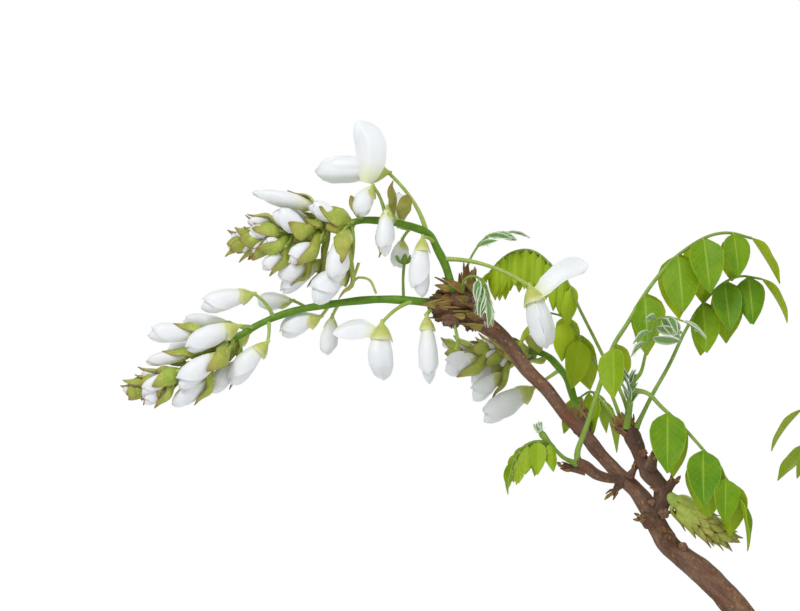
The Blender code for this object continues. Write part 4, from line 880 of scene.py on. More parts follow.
def add_calyx(bundle, calyx, tip, height, pedicel, draw, tone):
    """A cone with five teeth: r(u) widens from the pedicel to 0.44 of the floret's height, then turns in."""
    along, back, side = floret_frame(calyx, tip)
    deep = min(0.32 * np.linalg.norm(tip - calyx), 2.0 + 0.36 * height) * (1.45 if height < 6 else 1.0)
    cols = 20
    angle = 2 * np.pi * np.arange(cols) / cols
    teeth = 0.95 + 0.11 * np.maximum(np.cos(2.5 * angle + draw.uniform(0, 3)), -0.2) ** 2 * 2
    u = np.array([-0.28, -0.1, 0.05, 0.2, 0.4, 0.6, 0.8, 1.0, 1.0, 0.7])
    wide = height * 0.42
    radius = np.array([pedicel, pedicel * 1.15, 0.28 * wide, 0.46 * wide, 0.66 * wide, 0.82 * wide,
                       0.94 * wide, 1.04 * wide, 1.04 * wide - 0.35, 0.7 * wide])
    push = (u * deep)[:, None] * np.where(u > 0.5, 1.0, 0.0)[:, None] * (teeth - 1)[None]
    rings = (calyx + along * ((u * deep)[:, None] + push)[..., None]
             + radius[:, None, None] * (np.cos(angle)[:, None] * back + 0.86 * np.sin(angle)[:, None] * side))
    bundle.wrapped(closed(rings), CALYX, np.clip(np.r_[0, u, 1], 0, 1), angle / (2 * np.pi), tone, 0.0)


def pedicel_line(root, calyx, tip):
    """The floret's own stalk: a curve that leaves the stem and turns into the floret's line."""
    along = unit(tip - calyx)
    reach = np.linalg.norm(calyx - root)
    lean = root * 0.45 + (calyx - along * reach * 0.35) * 0.55
    f = np.linspace(0, 1, PEDICEL_STEPS)[:, None]
    return (1 - f) ** 2 * root + 2 * f * (1 - f) * lean + f**2 * (calyx - along * 0.3)


def add_floret(bundle, root, calyx, tip, height, draw, open_flower=False, pointed=False):
    """One floret: its own stalk, its calyx and its pod. Small ones are young and blush."""
    root, calyx, tip = (np.asarray(p, float) for p in (root, calyx, tip))
    young = float(np.clip((6.8 - height) / 3.0, 0, 1))
    pedicel = 0.46 + 0.02 * height
    bundle.tube(pedicel_line(root, calyx, tip), [pedicel * 1.35, pedicel, pedicel * 0.95], 8, STALK,
                draw.uniform(0.75, 1.0))
    add_calyx(bundle, calyx, tip, height, pedicel, draw, draw.uniform(0.2, 0.9) * (0.4 + 0.6 * young))
    cover = 0 if open_flower else draw.choice([0.84, 0.92, 1.0, 1.0])
    add_pod(bundle, calyx, tip, height, draw, cover, draw.uniform(0, 1), young * draw.uniform(0.2, 1.0),
            pointed=pointed)


def add_bract(bundle, root, calyx, tip, height, axis_point, draw, length=9.0, width=6.6, brown=0.0, curl=0.0):
    """A boat-shaped scale with a long point that holds a bud: its edges lift round the bud by v squared."""
    along = unit(tip - calyx)
    out = (calyx + tip) / 2 - axis_point
    out = unit(out - along * out.dot(along) + 1e-6)
    foot = root * 0.65 + calyx * 0.35
    belly = calyx + along * length * 0.14 + out * (height * 0.40 + 0.8)
    end = calyx + along * length * 0.60 + out * (height * 0.44 + 0.8 + curl)
    point = end + along * length * 0.24 + out * (0.5 + curl * 1.5)
    spine = smooth_line([foot, belly, end, point], 15)
    places = np.linspace(0, 1, 15)
    widths = eased(places, [0, 0.15, 0.4, 0.65, 0.85, 0.95, 1],
                   [0.32, 0.76, 1.0, 0.84, 0.46, 0.2, 0.03]) * width / 2

    def boat(way):
        """The scale with its edges lifted one way or the other."""
        return blade_grid(spine, np.cross(along, out), widths, 11,
                          lambda u, v: way * 0.62 * v**2 * (1 - 0.6 * u) * (1 + 0.1 * np.sin(9 * u + 5 * v)))

    grid = boat(1.0)
    middle = grid[7, 5]
    if np.dot(grid[7, 0] - middle, (calyx + tip) / 2 - middle) < 0:
        grid = boat(-1.0)
    bundle.sheet(grid, BRACT_THICK, BRACT, draw.uniform(0, 0.6), (brown, brown))


def add_tip_cone(bundle, stalk, share, count, length, height, seed):
    """The tight end of a raceme: buds in their scales, in a spiral round the stalk's tip."""
    draw = random.Random(seed)
    tangent, side, up = frames(stalk)
    for k in range(count):
        place = 1 - share * (1 - (k + 0.5) / count)
        i = min(len(stalk) - 1, int(place * (len(stalk) - 1)))
        turn = k * GOLDEN_ANGLE
        out = np.cos(turn) * side[i] + np.sin(turn) * up[i]
        size = 1 - 0.45 * k / count
        heading = unit(tangent[i] + out * (0.62 - 0.42 * k / count))
        calyx = stalk[i] + out * 0.8
        tip = calyx + heading * length * size * draw.uniform(0.75, 0.95)
        add_pod(bundle, calyx, tip, height * size * 0.85, draw, 0.98, draw.uniform(0, 1),
                draw.uniform(0.5, 1.0), rows=11, cols=12)
        add_bract(bundle, stalk[i], calyx, tip, height * size * 0.8, stalk[i], draw,
                  length * size * draw.uniform(1.1, 1.4), height * size * 1.45)


def add_sheath(bundle, stalk, draw):
    """Scales that lie along the last stretch of the stalk and fill the room between the buds."""
    tangent, side, up = frames(stalk)
    share = min(0.5, SHEATH_REACH / length_of(stalk))
    for k in range(SHEATH_COUNT):
        i = int((1 - share * (1 - (k + 0.5) / SHEATH_COUNT)) * (len(stalk) - 1))
        turn = k * GOLDEN_ANGLE + 1.0
        out = math.cos(turn) * side[i] + math.sin(turn) * up[i]
        calyx = stalk[i] + out * 1.6
        heading = unit(tangent[i] + out * draw.uniform(0.25, 0.45))
        long = draw.uniform(8.5, 11.5) * (1 - 0.3 * k / SHEATH_COUNT)
        add_bract(bundle, stalk[i], calyx, calyx + heading * long, 2.2, stalk[i], draw, long, 6.4 - 0.1 * k,
                  draw.uniform(0, 0.12))


def add_open_flower(bundle, root, calyx, tip, height, banner, breadth_half, breadth, draw):
    """Pod, two wing petals held against it, and the standing banner, folded back along its middle."""
    calyx, tip = np.asarray(calyx, float), np.asarray(tip, float)
    add_floret(bundle, root, calyx, tip, height, draw, open_flower=True)
    along, back, side = floret_frame(calyx, tip)
    reach = np.linalg.norm(tip - calyx)
    for way in (-1, 1):
        u = np.linspace(0.06, 0.95, 17)
        bulge = eased(u, POD_PLACES, POD_BULGE)
        spine = (calyx + along * (u * reach)[:, None] + side * (way * (0.385 * height * bulge + 0.2))[:, None]
                 + back * height * (0.04 * np.sin(np.pi * u) - 0.16 * sagging(u))[:, None])
        widths = eased(np.linspace(0, 1, 17), [0, 0.2, 0.5, 0.8, 0.95, 1],
                       [0.25, 0.66, 1, 1, 0.62, 0.1]) * height * 0.46
        grid = blade_grid(spine, back, widths, 11, lambda u, v: 0.0)
        hug = side * (-way * 0.8) * widths[:, None, None] * (np.linspace(-1, 1, 11) ** 2)[None, :, None]
        bundle.sheet(grid + hug, PETAL_THICK, PETAL, draw.uniform(0, 1), (0.0, 0.0))
    spine = smooth_line(banner, 25)
    widths = eased(np.linspace(0, 1, 25), [0, 0.1, 0.3, 0.6, 0.82, 0.94, 1],
                   [0.35, 0.62, 0.95, 1.0, 0.82, 0.5, 0.12]) * breadth_half
    grid = blade_grid(spine, breadth, widths, 17,
                      lambda u, v: 0.55 * v**2 - 0.10 * np.exp(-30 * v**2) - 0.35 * np.clip(u - 0.7, 0, 1)
                      * np.clip(-v, 0, 1) * 4)
    bundle.sheet(grid, BANNER_THICK, PETAL, draw.uniform(0, 1), (0.0, 0.0))


def nearest_step(line, point):
    """The number of the line's point that lies nearest to the one given."""
    return int(np.argmin(np.linalg.norm(line - np.asarray(point, float), axis=1)))


def stem_root(stalk, calyx, back):
    """The point on the stalk that a floret grows from: nearest to its calyx, then a little back."""
    step = length_of(stalk) / (len(stalk) - 1)
    return stalk[max(2, nearest_step(stalk, calyx) - int(back / step))]


def add_stalk(bundle, stalk, radii, tone=0.0):
    """The raceme's main stalk, with a faint ribbing and a swelling at its foot."""
    count = max(30, int(length_of(stalk) / 1.2))
    line = resample(stalk, count)
    u = np.linspace(0, 1, count)
    thick = np.interp(u, np.linspace(0, 1, len(radii)), radii) * (1 + 0.25 * np.exp(-u * 18))
    thick = thick * (1 + 0.06 * np.sin(u * length_of(stalk) / 2.3))
    bundle.tube(line, thick, 14, STALK, tone)


def raceme(name, points, florets, opened, cone, bract_reach, seed, extras=None):
    """One raceme as one piece: stalk, florets, their bracts and the scaly tip."""
    bundle, draw = Bundle(), random.Random(seed)
    stalk = smooth_line(points, LINE_STEPS)
    add_stalk(bundle, stalk, [STALK_RADIUS, STALK_RADIUS * 0.85, STALK_TIP_RADIUS])
    for calyx, tip, height, *form in florets:
        calyx, tip = np.asarray(calyx, float), np.asarray(tip, float)
        root = stem_root(stalk, calyx, 3.0 + 0.3 * height)
        add_floret(bundle, root, calyx, tip, height, draw, pointed=bool(form))
        if np.linalg.norm(root - stalk[-1]) < bract_reach:
            nearest = stalk[nearest_step(stalk, calyx)]
            add_bract(bundle, root, calyx, tip, height, nearest, draw, draw.uniform(10.5, 13.5), 7.4)
    for root, calyx, tip, height, banner, half, breadth in opened:
        start = stalk[nearest_step(stalk, root)]
        add_open_flower(bundle, start, calyx, tip, height, banner, half, breadth, draw)
    add_tip_cone(bundle, stalk, *cone)
    add_sheath(bundle, stalk, draw)
    if extras:
        extras(bundle, draw)
    piece = bundle.build(name + "_petals", FLOWER_FINISHES)
    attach(piece, WOOD_BODY)
    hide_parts(name)


def upper_extras(bundle, draw):
    """Withered, curled scales above the stalk, and the curled stalk of a fallen floret."""
    for root, calyx, tip, curl in (((-160, -3, 366), (-160, -7, 372), (-166, -8, 380), 1.8),
                                   ((-158, -3, 366), (-157, -9, 369), (-155, -10, 377), 2.4),
                                   ((-171, -3, 366.5), (-172, -6, 369), (-178, -7, 374), 1.2),
                                   ((-166, -3, 366), (-166, -5, 362), (-160, -6, 354), 1.5)):
        root, calyx, tip = (np.asarray(p, float) for p in (root, calyx, tip))
        add_bract(bundle, root, calyx, tip, 3.0, root, draw, 9.5, 5.4, draw.uniform(0.1, 0.5), curl)
    curled = [(-173, -6, 351), (-175, -6, 344.5), (-173, -5, 345.5), (-169, -4, 344.5), (-166.6, -3, 339.6)]
    bundle.tube(smooth_line(curled, 24), [0.55, 0.5, 0.45], 8, STALK, 0.9)


def lower_extras(bundle, _):
    """A small green bud shoot that stands on the stalk, and bare floret stalks."""
    bundle.tube(smooth_line([(-156.5, 0, 337), (-156.7, -1, 345), (-156.2, -1.5, 352)], 12), [0.6, 0.5, 0.6],
                8,
                STALK, 0.3)
    for k in range(5):
        turn = k * GOLDEN_ANGLE
        out = np.array([math.cos(turn), 0.6 * math.sin(turn), 0.9])
        foot = np.array([-156.3, -1.5, 350.5])
        spine = foot + unit(out) * np.linspace(0, 4.6, 9)[:, None]
        widths = 1.1 * np.sin(np.pi * np.linspace(0.08, 0.97, 9))
        bundle.sheet(blade_grid(spine, np.cross(out, (0.2, 0.3, 1.0)), widths, 5, lambda u, v: 0.5 * v**2),
                     LEAF_THICK, STALK, 0.25)
    bundle.tube(smooth_line([(-143, 0, 336), (-146, -3, 334), (-148.5, -5, 331.5)], 10), [0.8, 0.7], 8,
                STALK, 0.8)
    bundle.tube(smooth_line([(-137, -3, 338), (-137.8, -5, 330), (-136.6, -6, 322), (-137.4, -6, 319)], 12),
                [0.6, 0.5, 0.8], 8, STALK, 0.5)


def ruled_florets(points, count, seed):
    """Florets in a spiral down the stalk: long stalks and big petals first, small buds last."""
    draw = random.Random(seed)
    stalk = smooth_line(points, LINE_STEPS)
    tangent, side, up = frames(stalk)
    florets, opened = [], []
    for k in range(count):
        place = 0.2 + 0.62 * k / (count - 1)
        i = int(place * (LINE_STEPS - 1))
        turn = k * GOLDEN_ANGLE + draw.uniform(-0.2, 0.2)
        out = np.cos(turn) * side[i] + np.sin(turn) * up[i]
        young = k / (count - 1)
        size = 1 - 0.62 * young
        calyx = stalk[i] + out * (2.5 + 7.5 * size) + tangent[i] * 3.0 + np.array([0, 0, -1.5 * size])
        heading = unit(out * (0.55 - 0.3 * young) + tangent[i] * 0.75 + np.array([0, 0, -0.5]) * size)
        tip = calyx + heading * (7 + 14 * size)
        height = 3.4 + 5.2 * size
        if k in (0, 3):
            raise_way = unit(out + np.array([0, 0, 0.6]))
            banner = [calyx + heading * 2.5, calyx + heading * 3 + raise_way * 6,
                      calyx + heading * 1.0 + raise_way * 13, calyx - heading * 3 + raise_way * 17]
            opened.append((stalk[i], calyx, tip, height, banner, 7.3, np.cross(heading, raise_way)))
        else:
            florets.append((calyx, tip, height))
    return florets, opened


def unopened_raceme():
    """The raceme still in bud: a fat cone of overlapping olive scales on a short stalk."""
    bundle, draw = Bundle(), random.Random(9)
    stalk = smooth_line(CONE_BUD_STALK, LINE_STEPS)
    add_stalk(bundle, stalk, [1.6, 3.0, 3.8, 2.0], 0.8)
    tangent, side, up = frames(stalk)
    count = 46
    for k in range(count):
        f = (k + 0.5) / count
        i = int((0.12 + 0.86 * f) * (LINE_STEPS - 1))
        turn = k * GOLDEN_ANGLE
        out = np.cos(turn) * side[i] + np.sin(turn) * up[i]
        wide = 3.6 * math.sin(math.pi * (0.25 + 0.62 * f)) + 0.6
        calyx = stalk[i] + out * wide * 0.75
        heading = unit(tangent[i] + out * (0.24 - 0.20 * f))
        tip = calyx + heading * draw.uniform(9.0, 12.0) * (1 - 0.35 * f)
        add_bract(bundle, stalk[i], calyx, tip, 1.2, stalk[i], draw,
                  14.5 * (1 - 0.4 * f) * draw.uniform(0.8, 1.15), 5.2 * (1 - 0.35 * f),
                  draw.uniform(0, 0.1), draw.uniform(-0.2, 0.0))
    piece = bundle.build("raceme_unopened_scales", FLOWER_FINISHES)
    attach(piece, WOOD_BODY)
    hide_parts("raceme_unopened")


# ---------------------------------------------------------------- leaves
LEAFLET_PLACES = [0.0, 0.05, 0.16, 0.3, 0.45, 0.6, 0.75, 0.87, 0.95, 1.0]
LEAFLET_WIDTHS = [0.10, 0.46, 0.86, 1.0, 0.98, 0.86, 0.62, 0.34, 0.15, 0.03]


def add_leaflet(bundle, foot, heading, across, length, width, hang, draw, finish, fold, rows=14, cols=9,
                tones=(0.0, 1.0)):
    """A pointed oval of half width w(u): its halves lift by fold * |v|^1.2 and a ripple, its tip droops."""
    steps = np.linspace(0, 1, rows)
    droop = -np.clip(hang, 0.2, 1) * 0.55 * steps
    way = unit(heading + np.array([0, 0, 1.0]) * droop[:, None] * (1 - hang * 0.6))
    curl = unit(np.cross(across, heading)) * draw.uniform(-0.28, 0.28)
    way = unit(way + curl * (steps**2)[:, None])
    spine = foot + np.vstack([np.zeros(3), np.cumsum((way[1:] + way[:-1]) / 2, axis=0)]) * length / (rows - 1)
    widths = eased(steps, LEAFLET_PLACES, LEAFLET_WIDTHS) * width / 2
    phase, ripple = draw.uniform(0, 6), draw.uniform(0.03, 0.09)
    grid = blade_grid(spine, across, widths, cols,
                      lambda u, v: fold * np.abs(v) ** 1.2 + ripple * np.sin(11 * u + phase + 1.5 * v) * v**2)
    tone = draw.choice((0.0, 0.15, 0.35, 0.7, 0.9, 1.0))
    bundle.sheet(grid, LEAF_THICK, finish, tones[0] + (tones[1] - tones[0]) * tone, (0.0, 1.0))
    return spine


def add_compound_leaf(bundle, line, pairs, length, width, hang, seed, finish, fold=0.22,
                      stem_tone=0.45, silk=0, stem=1.0, tones=(0.0, 1.0), forward=0.35):
    """A rib with leaflets in pairs, each on its own short stalk, and one at the tip."""
    draw, extra = random.Random(seed), random.Random(seed + 500)
    total = length_of(line)
    dense = resample(line, RIB_STEPS)
    tangent = unit(np.gradient(dense, axis=0))
    run = dense[-1] - dense[0]
    level = unit(np.array([-run[1], run[0], 1e-6]))
    breadth = unit(level - tangent * (tangent @ level)[:, None])
    count = max(20, int(total / 1.6))
    u = np.linspace(0, 1, count)
    radii = (0.85 + (0.42 - 0.85) * u + 0.55 * np.exp(-u * total / 2.5)) * stem
    bundle.tube(resample(line, count), radii, 10, LEAF_STALK, stem_tone)
    for share in pairs:
        i = int(share * (RIB_STEPS - 1))
        along, ways = tangent[i], breadth[i]
        for way in (1, -1):
            size = draw.uniform(0.88, 1.08) * (0.85 if share == pairs[-1] else 1.0)
            out = ways * way
            flat = unit(out + along * forward)
            drop = np.array([0, 0, -1.0]) + out * draw.uniform(0.12, 0.26)
            heading = unit(flat * (1 - hang) + drop * hang)
            lean = unit(along + np.array([0, 0, draw.uniform(-0.25, 0.25)]) * hang)
            across = unit(lean - heading * lean.dot(heading))
            nearer = out[1] < 0
            foot = dense[i] + out * 1.5 * stem + heading * 0.4 + (0 if nearer else 1.6) * along
            span = tones[1] - tones[0]
            # Painted shade and light: leaflets on the camera's side of the rib take the darker part of the
            # tones, those on the far side the lighter part.
            painted_light_and_shade = (tones[0], tones[0] + 0.35 * span) if nearer else (tones[0] + 0.7 * span, tones[1])
            size = size if nearer else size * 1.12
            bundle.tube(np.array([dense[i], dense[i] + out * 0.9, foot + heading * 0.5]), [0.42, 0.4, 0.3], 7,
                        LEAF_STALK, stem_tone + 0.2)
            spine = add_leaflet(bundle, foot, heading, across, length * size, width * size, hang, extra,
                                finish,
                                fold * extra.choice((-1, 1)) if abs(fold) < 0.5 else fold, tones=painted_light_and_shade)
            if silk:
                add_silk(bundle, spine, across, width * size, silk, extra)
    along = unit(dense[-1] - dense[-8])
    heading = unit(along * (1 - 0.6 * hang) + np.array([0, 0, -0.6 * hang]))
    spine = add_leaflet(bundle, dense[-1], heading, breadth[-1], length * 0.95, width * 0.95, hang, extra,
                        finish, fold, tones=tones)
    if silk:
        add_silk(bundle, spine, breadth[-1], width, silk, extra)


STRAND = np.array([(0.035, 0, 0), (-0.02, 0.03, 0), (-0.02, -0.03, 0), (0.0, 0.0, 1.0)])
STRAND_FACES = np.array([(0, 1, 3), (1, 2, 3), (2, 0, 3), (0, 2, 1)])


def turns_towards(ways):
    """Matrices whose third column is the way given and whose others are square to it."""
    ways = unit(ways)
    side = unit(np.cross(ways, np.array([0.31, 0.87, 0.17])))
    return np.stack([side, np.cross(ways, side), ways], axis=-1)


def add_silk(bundle, spine, across, width, count, draw):
    """Fine silky hairs that lie forward from the blade's margins."""
    rng = np.random.default_rng(draw.randrange(10**6))
    pick = rng.integers(2, len(spine) - 2, count)
    tangent = unit(np.gradient(spine, axis=0))[pick]
    across = unit(across)
    side = rng.choice((-1.0, 1.0), count)[:, None]
    places = spine[pick] + across * side * rng.uniform(0.1, 0.5, count)[:, None] * width * 0.8
    ways = tangent + across * side * rng.uniform(0.1, 0.6, count)[:, None] + rng.normal(0, 0.25, (count, 3))
    bundle.scatter(STRAND, STRAND_FACES, places, rng.uniform(1.2, 2.6, count), turns_towards(ways), LEAF_SILK,
                   np.full(count, 0.5), np.zeros(count))


def leaf_piece(name, bundle):
    """The finished leaf, in place of its solid."""
    piece = bundle.build(name + "_blades", LEAF_FINISHES)
    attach(piece, WOOD_BODY)
    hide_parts(name)


def photographed_leaves():
    """The leaves and shoots that the photograph shows, each with its own line and size."""
    plain = [
        ("leaf_long", LONG_LEAF, [0.385, 0.575, 0.738, 0.835, 0.935], 21, 13, 0.86, 1, 0.3, 1.25,
         (0.1, 0.95)),
        ("leaf_over", OVER_LEAF, [0.6, 0.65, 0.69, 0.73, 0.77, 0.80, 0.835, 0.87, 0.895, 0.925, 0.955],
         14, 5.4, 0.9, 2, 0.55, 0.9, (0.0, 1.2)),
        ("leaf_beside", BESIDE_LEAF, [0.72, 0.87], 20, 11, 0.88, 3, 0.3, 0.9, (0.5, 1.0)),
        ("leaf_upright", UPRIGHT_LEAF, [0.665, 0.81, 0.93], 20, 12, 0.86, 4, 0.3, 1.0, (0.0, 0.7)),
        ("leaf_behind_branch", BEHIND_LEAF, [0.52, 0.8], 17, 10, 0.9, 5, 0.3, 0.9, (0.0, 0.12)),
    ]
    for name, points, pairs, length, width, hang, seed, fold, stem, tones in plain:
        bundle = Bundle()
        add_compound_leaf(bundle, smooth_line(points, LEAF_STEPS), pairs, length, width, hang, seed, LEAF,
                          fold, stem=stem, tones=tones)
        leaf_piece(name, bundle)
    sprig = Bundle()
    add_compound_leaf(sprig, smooth_line(SPRIG_LEAF, YOUNG_STEPS), [0.62, 0.76, 0.88], 9.0, 2.9, 0.3, 6,
                      YOUNG, 0.7, silk=14, stem_tone=0.35, stem=0.7, forward=1.6)
    leaf_piece("leaf_sprig", sprig)
    pale = Bundle()
    add_compound_leaf(pale, smooth_line(PALE_LEAF, YOUNG_STEPS), [0.62, 0.72, 0.82, 0.92], 9.5, 3.6, 0.85,
                      7, YOUNG, 0.75, silk=26, stem_tone=0.25, stem=0.8)
    leaf_piece("leaf_unfolding", pale)
    side = Bundle()
    add_compound_leaf(side, smooth_line(YOUNG_LEAF, 100), [0.46, 0.6, 0.72, 0.83, 0.93], 12, 5.6, 0.72, 8,
                      LEAF, 0.35, silk=8, stem_tone=0.3, tones=(0.0, 0.3))
    side.tube(smooth_line(BUD_SPROUT, 12), [0.8, 0.8, 1.2, 1.4, 0.5], 10, LEAF_STALK, 0.3)
    rng = np.random.default_rng(4)
    tip = np.asarray(BUD_SPROUT[-1], float)
    ways = rng.normal(0, 0.8, (46, 3)) + np.array([-0.6, -0.3, 0.8])
    side.scatter(STRAND, STRAND_FACES, tip + rng.normal(0, 0.7, (46, 3)), rng.uniform(1.5, 3.0, 46),
                 turns_towards(ways), LEAF_SILK, np.full(46, 0.5), np.zeros(46))
    for k in range(4):
        turn = k * GOLDEN_ANGLE
        out = unit(np.array([math.cos(turn) - 0.6, 0.7 * math.sin(turn), 1.2]))
        spine = tip - out * 1.5 + out * np.linspace(0, 4.4, 9)[:, None]
        widths = 1.1 * np.sin(np.pi * np.linspace(0.08, 0.97, 9))
        side.sheet(blade_grid(spine, np.cross(out, (0.2, 0.5, 0.3)), widths, 5, lambda u, v: 0.7 * v**2),
                   LEAF_THICK, YOUNG, 0.8, (0.0, 1.0))
    leaf_piece("shoot_side_fork", side)
    shoot = Bundle()
    shoot.tube(smooth_line(NEW_SHOOT, 24), [1.5, 1.3, 1.2, 0.7], 12, LEAF_STALK, 0.35)
    add_compound_leaf(shoot, smooth_line(LOWER_RIGHT_LEAF, YOUNG_STEPS), [0.285, 0.617, 0.85], 21, 13,
                      0.88, 9, LEAF, 0.3, tones=(0.0, 0.6))
    add_compound_leaf(shoot, smooth_line(SILVERY_LEAF, YOUNG_STEPS), [0.5, 0.62, 0.74, 0.86], 11, 3.4, 0.35,
                      10, YOUNG, 0.7, silk=22, stem_tone=0.4, stem=0.8)
    draw = random.Random(61)
    for k in range(13):
        turn = k * GOLDEN_ANGLE
        foot = np.array([-73.0, -11.0, 299.0 + 0.75 * k])
        out = unit(np.array([math.cos(turn), math.sin(turn), 1.6]))
        across = unit(np.cross(out, (0.3, 0.2, 0.1)))
        spine = add_leaflet(shoot, foot, out, across, draw.uniform(4.5, 7.5), 1.7, 0.2, draw, YOUNG, 0.8, 9,
                            5)
        add_silk(shoot, spine, across, 2.0, 8, draw)
    leaf_piece("shoot_second_branch", shoot)


def ruled_leaf_line(foot, compass, length, rise):
    """A stalk that climbs, bends over and droops, towards a compass angle."""
    share = np.linspace(0, 1, 24)
    way = np.array([math.cos(math.radians(compass)), math.sin(math.radians(compass)), 0.0])
    up = rise * (2.3 * share - 1.7 * share**2)
    return np.asarray(foot, float) + (length * share)[:, None] * way + up[:, None] * np.array([0, 0, 1.0])


def ruled_leaves():
    """The leaves of the sides that the photograph does not show."""
    for number, (name, foot, compass, length, rise) in enumerate(RULED_LEAVES):
        bundle = Bundle()
        add_compound_leaf(bundle, ruled_leaf_line(foot, compass, length, rise), [0.4, 0.66, 0.88], 22, 13,
                          0.55,
                          30 + number, LEAF)
        leaf_piece(name, bundle)


# ---------------------------------------------------------------- wood
WOOD, WOOD_SCALE = range(2)


def bark_height(angle, along, radius):
    """Ridges that run with the limb and plates across them: |2n - 1| of a long noise, plus a finer one."""
    around = 2 * math.pi * float(np.mean(radius))
    long_cells, fine_cells = max(4, round(around / 5.0)), max(8, round(around / 2.0))
    turn = angle / (2 * np.pi)
    ridge = np.abs(2 * cell_noise(turn * long_cells, along / 13.0, long_cells) - 1)
    plate = cell_noise(turn * fine_cells, along / 3.4, min(LATTICE_SIZE, fine_cells))
    ring = cell_noise(turn * 3 + 0.5, along / 2.1, 3)
    return 0.75 * ridge + 0.45 * plate + 0.2 * ring - 0.75


def add_limb(bundle, points, radii, rough, seed, dark, pitch, lobes=0.0):
    """A limb: centre(s) + (r(s) + bark(a, s)) * (cos a * side + sin a * up), its marks in its own space."""
    coarse = smooth_line(points, LINE_STEPS)
    total = length_of(coarse)
    count = max(8, int(total / pitch))
    line = smooth_line(points, count)
    _, side, up = frames(line)
    radius = eased(np.linspace(0, 1, count), np.linspace(0, 1, len(radii)), radii)
    knobs = cell_noise(np.linspace(0, total, count) / 5.5 + 5 * seed, np.full(count, 3.3 * seed)) * 2 - 1
    radius = radius * (1 + 0.07 * rough / (1 + radius / 6) * knobs)
    cols = int(np.clip(2 * math.pi * float(np.max(radius)) / pitch, 14, 130))
    angle = 2 * np.pi * np.arange(cols) / cols
    along = np.linspace(0, total, count)
    a, s = angle[None] * np.ones((count, 1)), along[:, None] * np.ones((1, cols))
    depth = (rough * (0.12 + 0.06 * radius))[:, None]
    thick = radius[:, None] + bark_height(a, s + 31.0 * seed, radius) * depth
    if lobes:
        flare = np.maximum(0, 1 - np.abs(line[:, 2] - SOIL_CROWN) / ROOT_REACH)[:, None]
        thick = thick + radius[:, None] * lobes * flare * np.cos(4 * a)
    ring = np.cos(a)[..., None] * side[:, None] + np.sin(a)[..., None] * up[:, None]
    rings = line[:, None] + thick[..., None] * ring
    marks = np.empty((count + 2, cols, 4))
    rows = np.r_[0, np.arange(count), count - 1]
    marks[..., 0] = np.cos(a[rows]) * radius[rows][:, None] * MM
    marks[..., 1] = np.sin(a[rows]) * radius[rows][:, None] * MM
    marks[..., 2] = (s[rows] + 97.0 * seed) * MM
    marks[..., 3] = np.clip(dark + 0.6 * (rough - 1.0) * cell_noise(a[rows] * 2, s[rows] / 9.0), 0, 1)
    rings = closed(rings)
    bundle.add(rings.reshape(-1, 3), ring_faces(*rings.shape[:2]), WOOD, marks.reshape(-1, 4))


def add_lump(bundle, centre, half_sizes, seed, dark):
    """A rough swelling: an ellipsoid whose radius varies by lattice noise of its two angles."""
    polar = np.linspace(0.06, math.pi - 0.06, 26)[:, None]
    angle = (2 * np.pi * np.arange(36) / 36)[None]
    bump = 1 + 0.55 * (cell_noise(angle / (2 * np.pi) * 7, polar * 3 + seed, 7) - 0.5)
    bump = bump + 0.16 * (cell_noise(angle / (2 * np.pi) * 30, polar * 14 + 7 * seed, 30) - 0.5)
    bump = bump + 0.32 * (cell_noise(angle / (2 * np.pi) * 16, polar * 7 + 3 * seed, 16) - 0.5)
    ball = np.stack([np.sin(polar) * np.cos(angle), np.sin(polar) * np.sin(angle),
                     np.cos(polar) + 0 * angle], axis=-1)
    rings = np.asarray(centre, float) + ball * bump[..., None] * np.asarray(half_sizes, float)
    rings = closed(rings)
    points = rings.reshape(-1, 3)
    marks = np.column_stack([points * MM, np.full(len(points), dark)])
    bundle.add(points, ring_faces(*rings.shape[:2]), WOOD, marks)


def add_bud_scales(bundle, line, radius, count, size, seed, spread=0.5, ages=OLD_SCALE):
    """Old brown scales, shingled in a spiral round a short stretch of wood."""
    draw = random.Random(seed)
    line = smooth_line(line, SCALE_STEPS)
    tangent, side, up = frames(line)
    for k in range(count):
        i = int((k + 0.5) / count * (SCALE_STEPS - 1))
        turn = k * GOLDEN_ANGLE + draw.uniform(-0.3, 0.3)
        out = math.cos(turn) * side[i] + math.sin(turn) * up[i]
        foot = line[i] + out * radius * draw.uniform(0.72, 0.92)
        way = unit(tangent[i] * draw.uniform(0.6, 1.0) + out * draw.uniform(0.4, 1.2) * spread)
        reach = size * draw.uniform(0.7, 1.25)
        bend = unit(tangent[i] + 0.15 * out)
        steps = np.linspace(0, 1, 6)[:, None]
        spine = foot + (way * steps + bend * steps**2 * 0.5) * reach
        widths = eased(steps[:, 0], [0, 0.3, 0.7, 1], [0.7, 1.0, 0.7, 0.08]) * reach * 0.42
        grid = blade_grid(spine, np.cross(way, out), widths, 5, lambda u, v: -0.45 * v**2)
        bundle.sheet(grid, SCALE_THICK, WOOD_SCALE, draw.uniform(0.5, 1.0), (draw.uniform(*ages),) * 2)


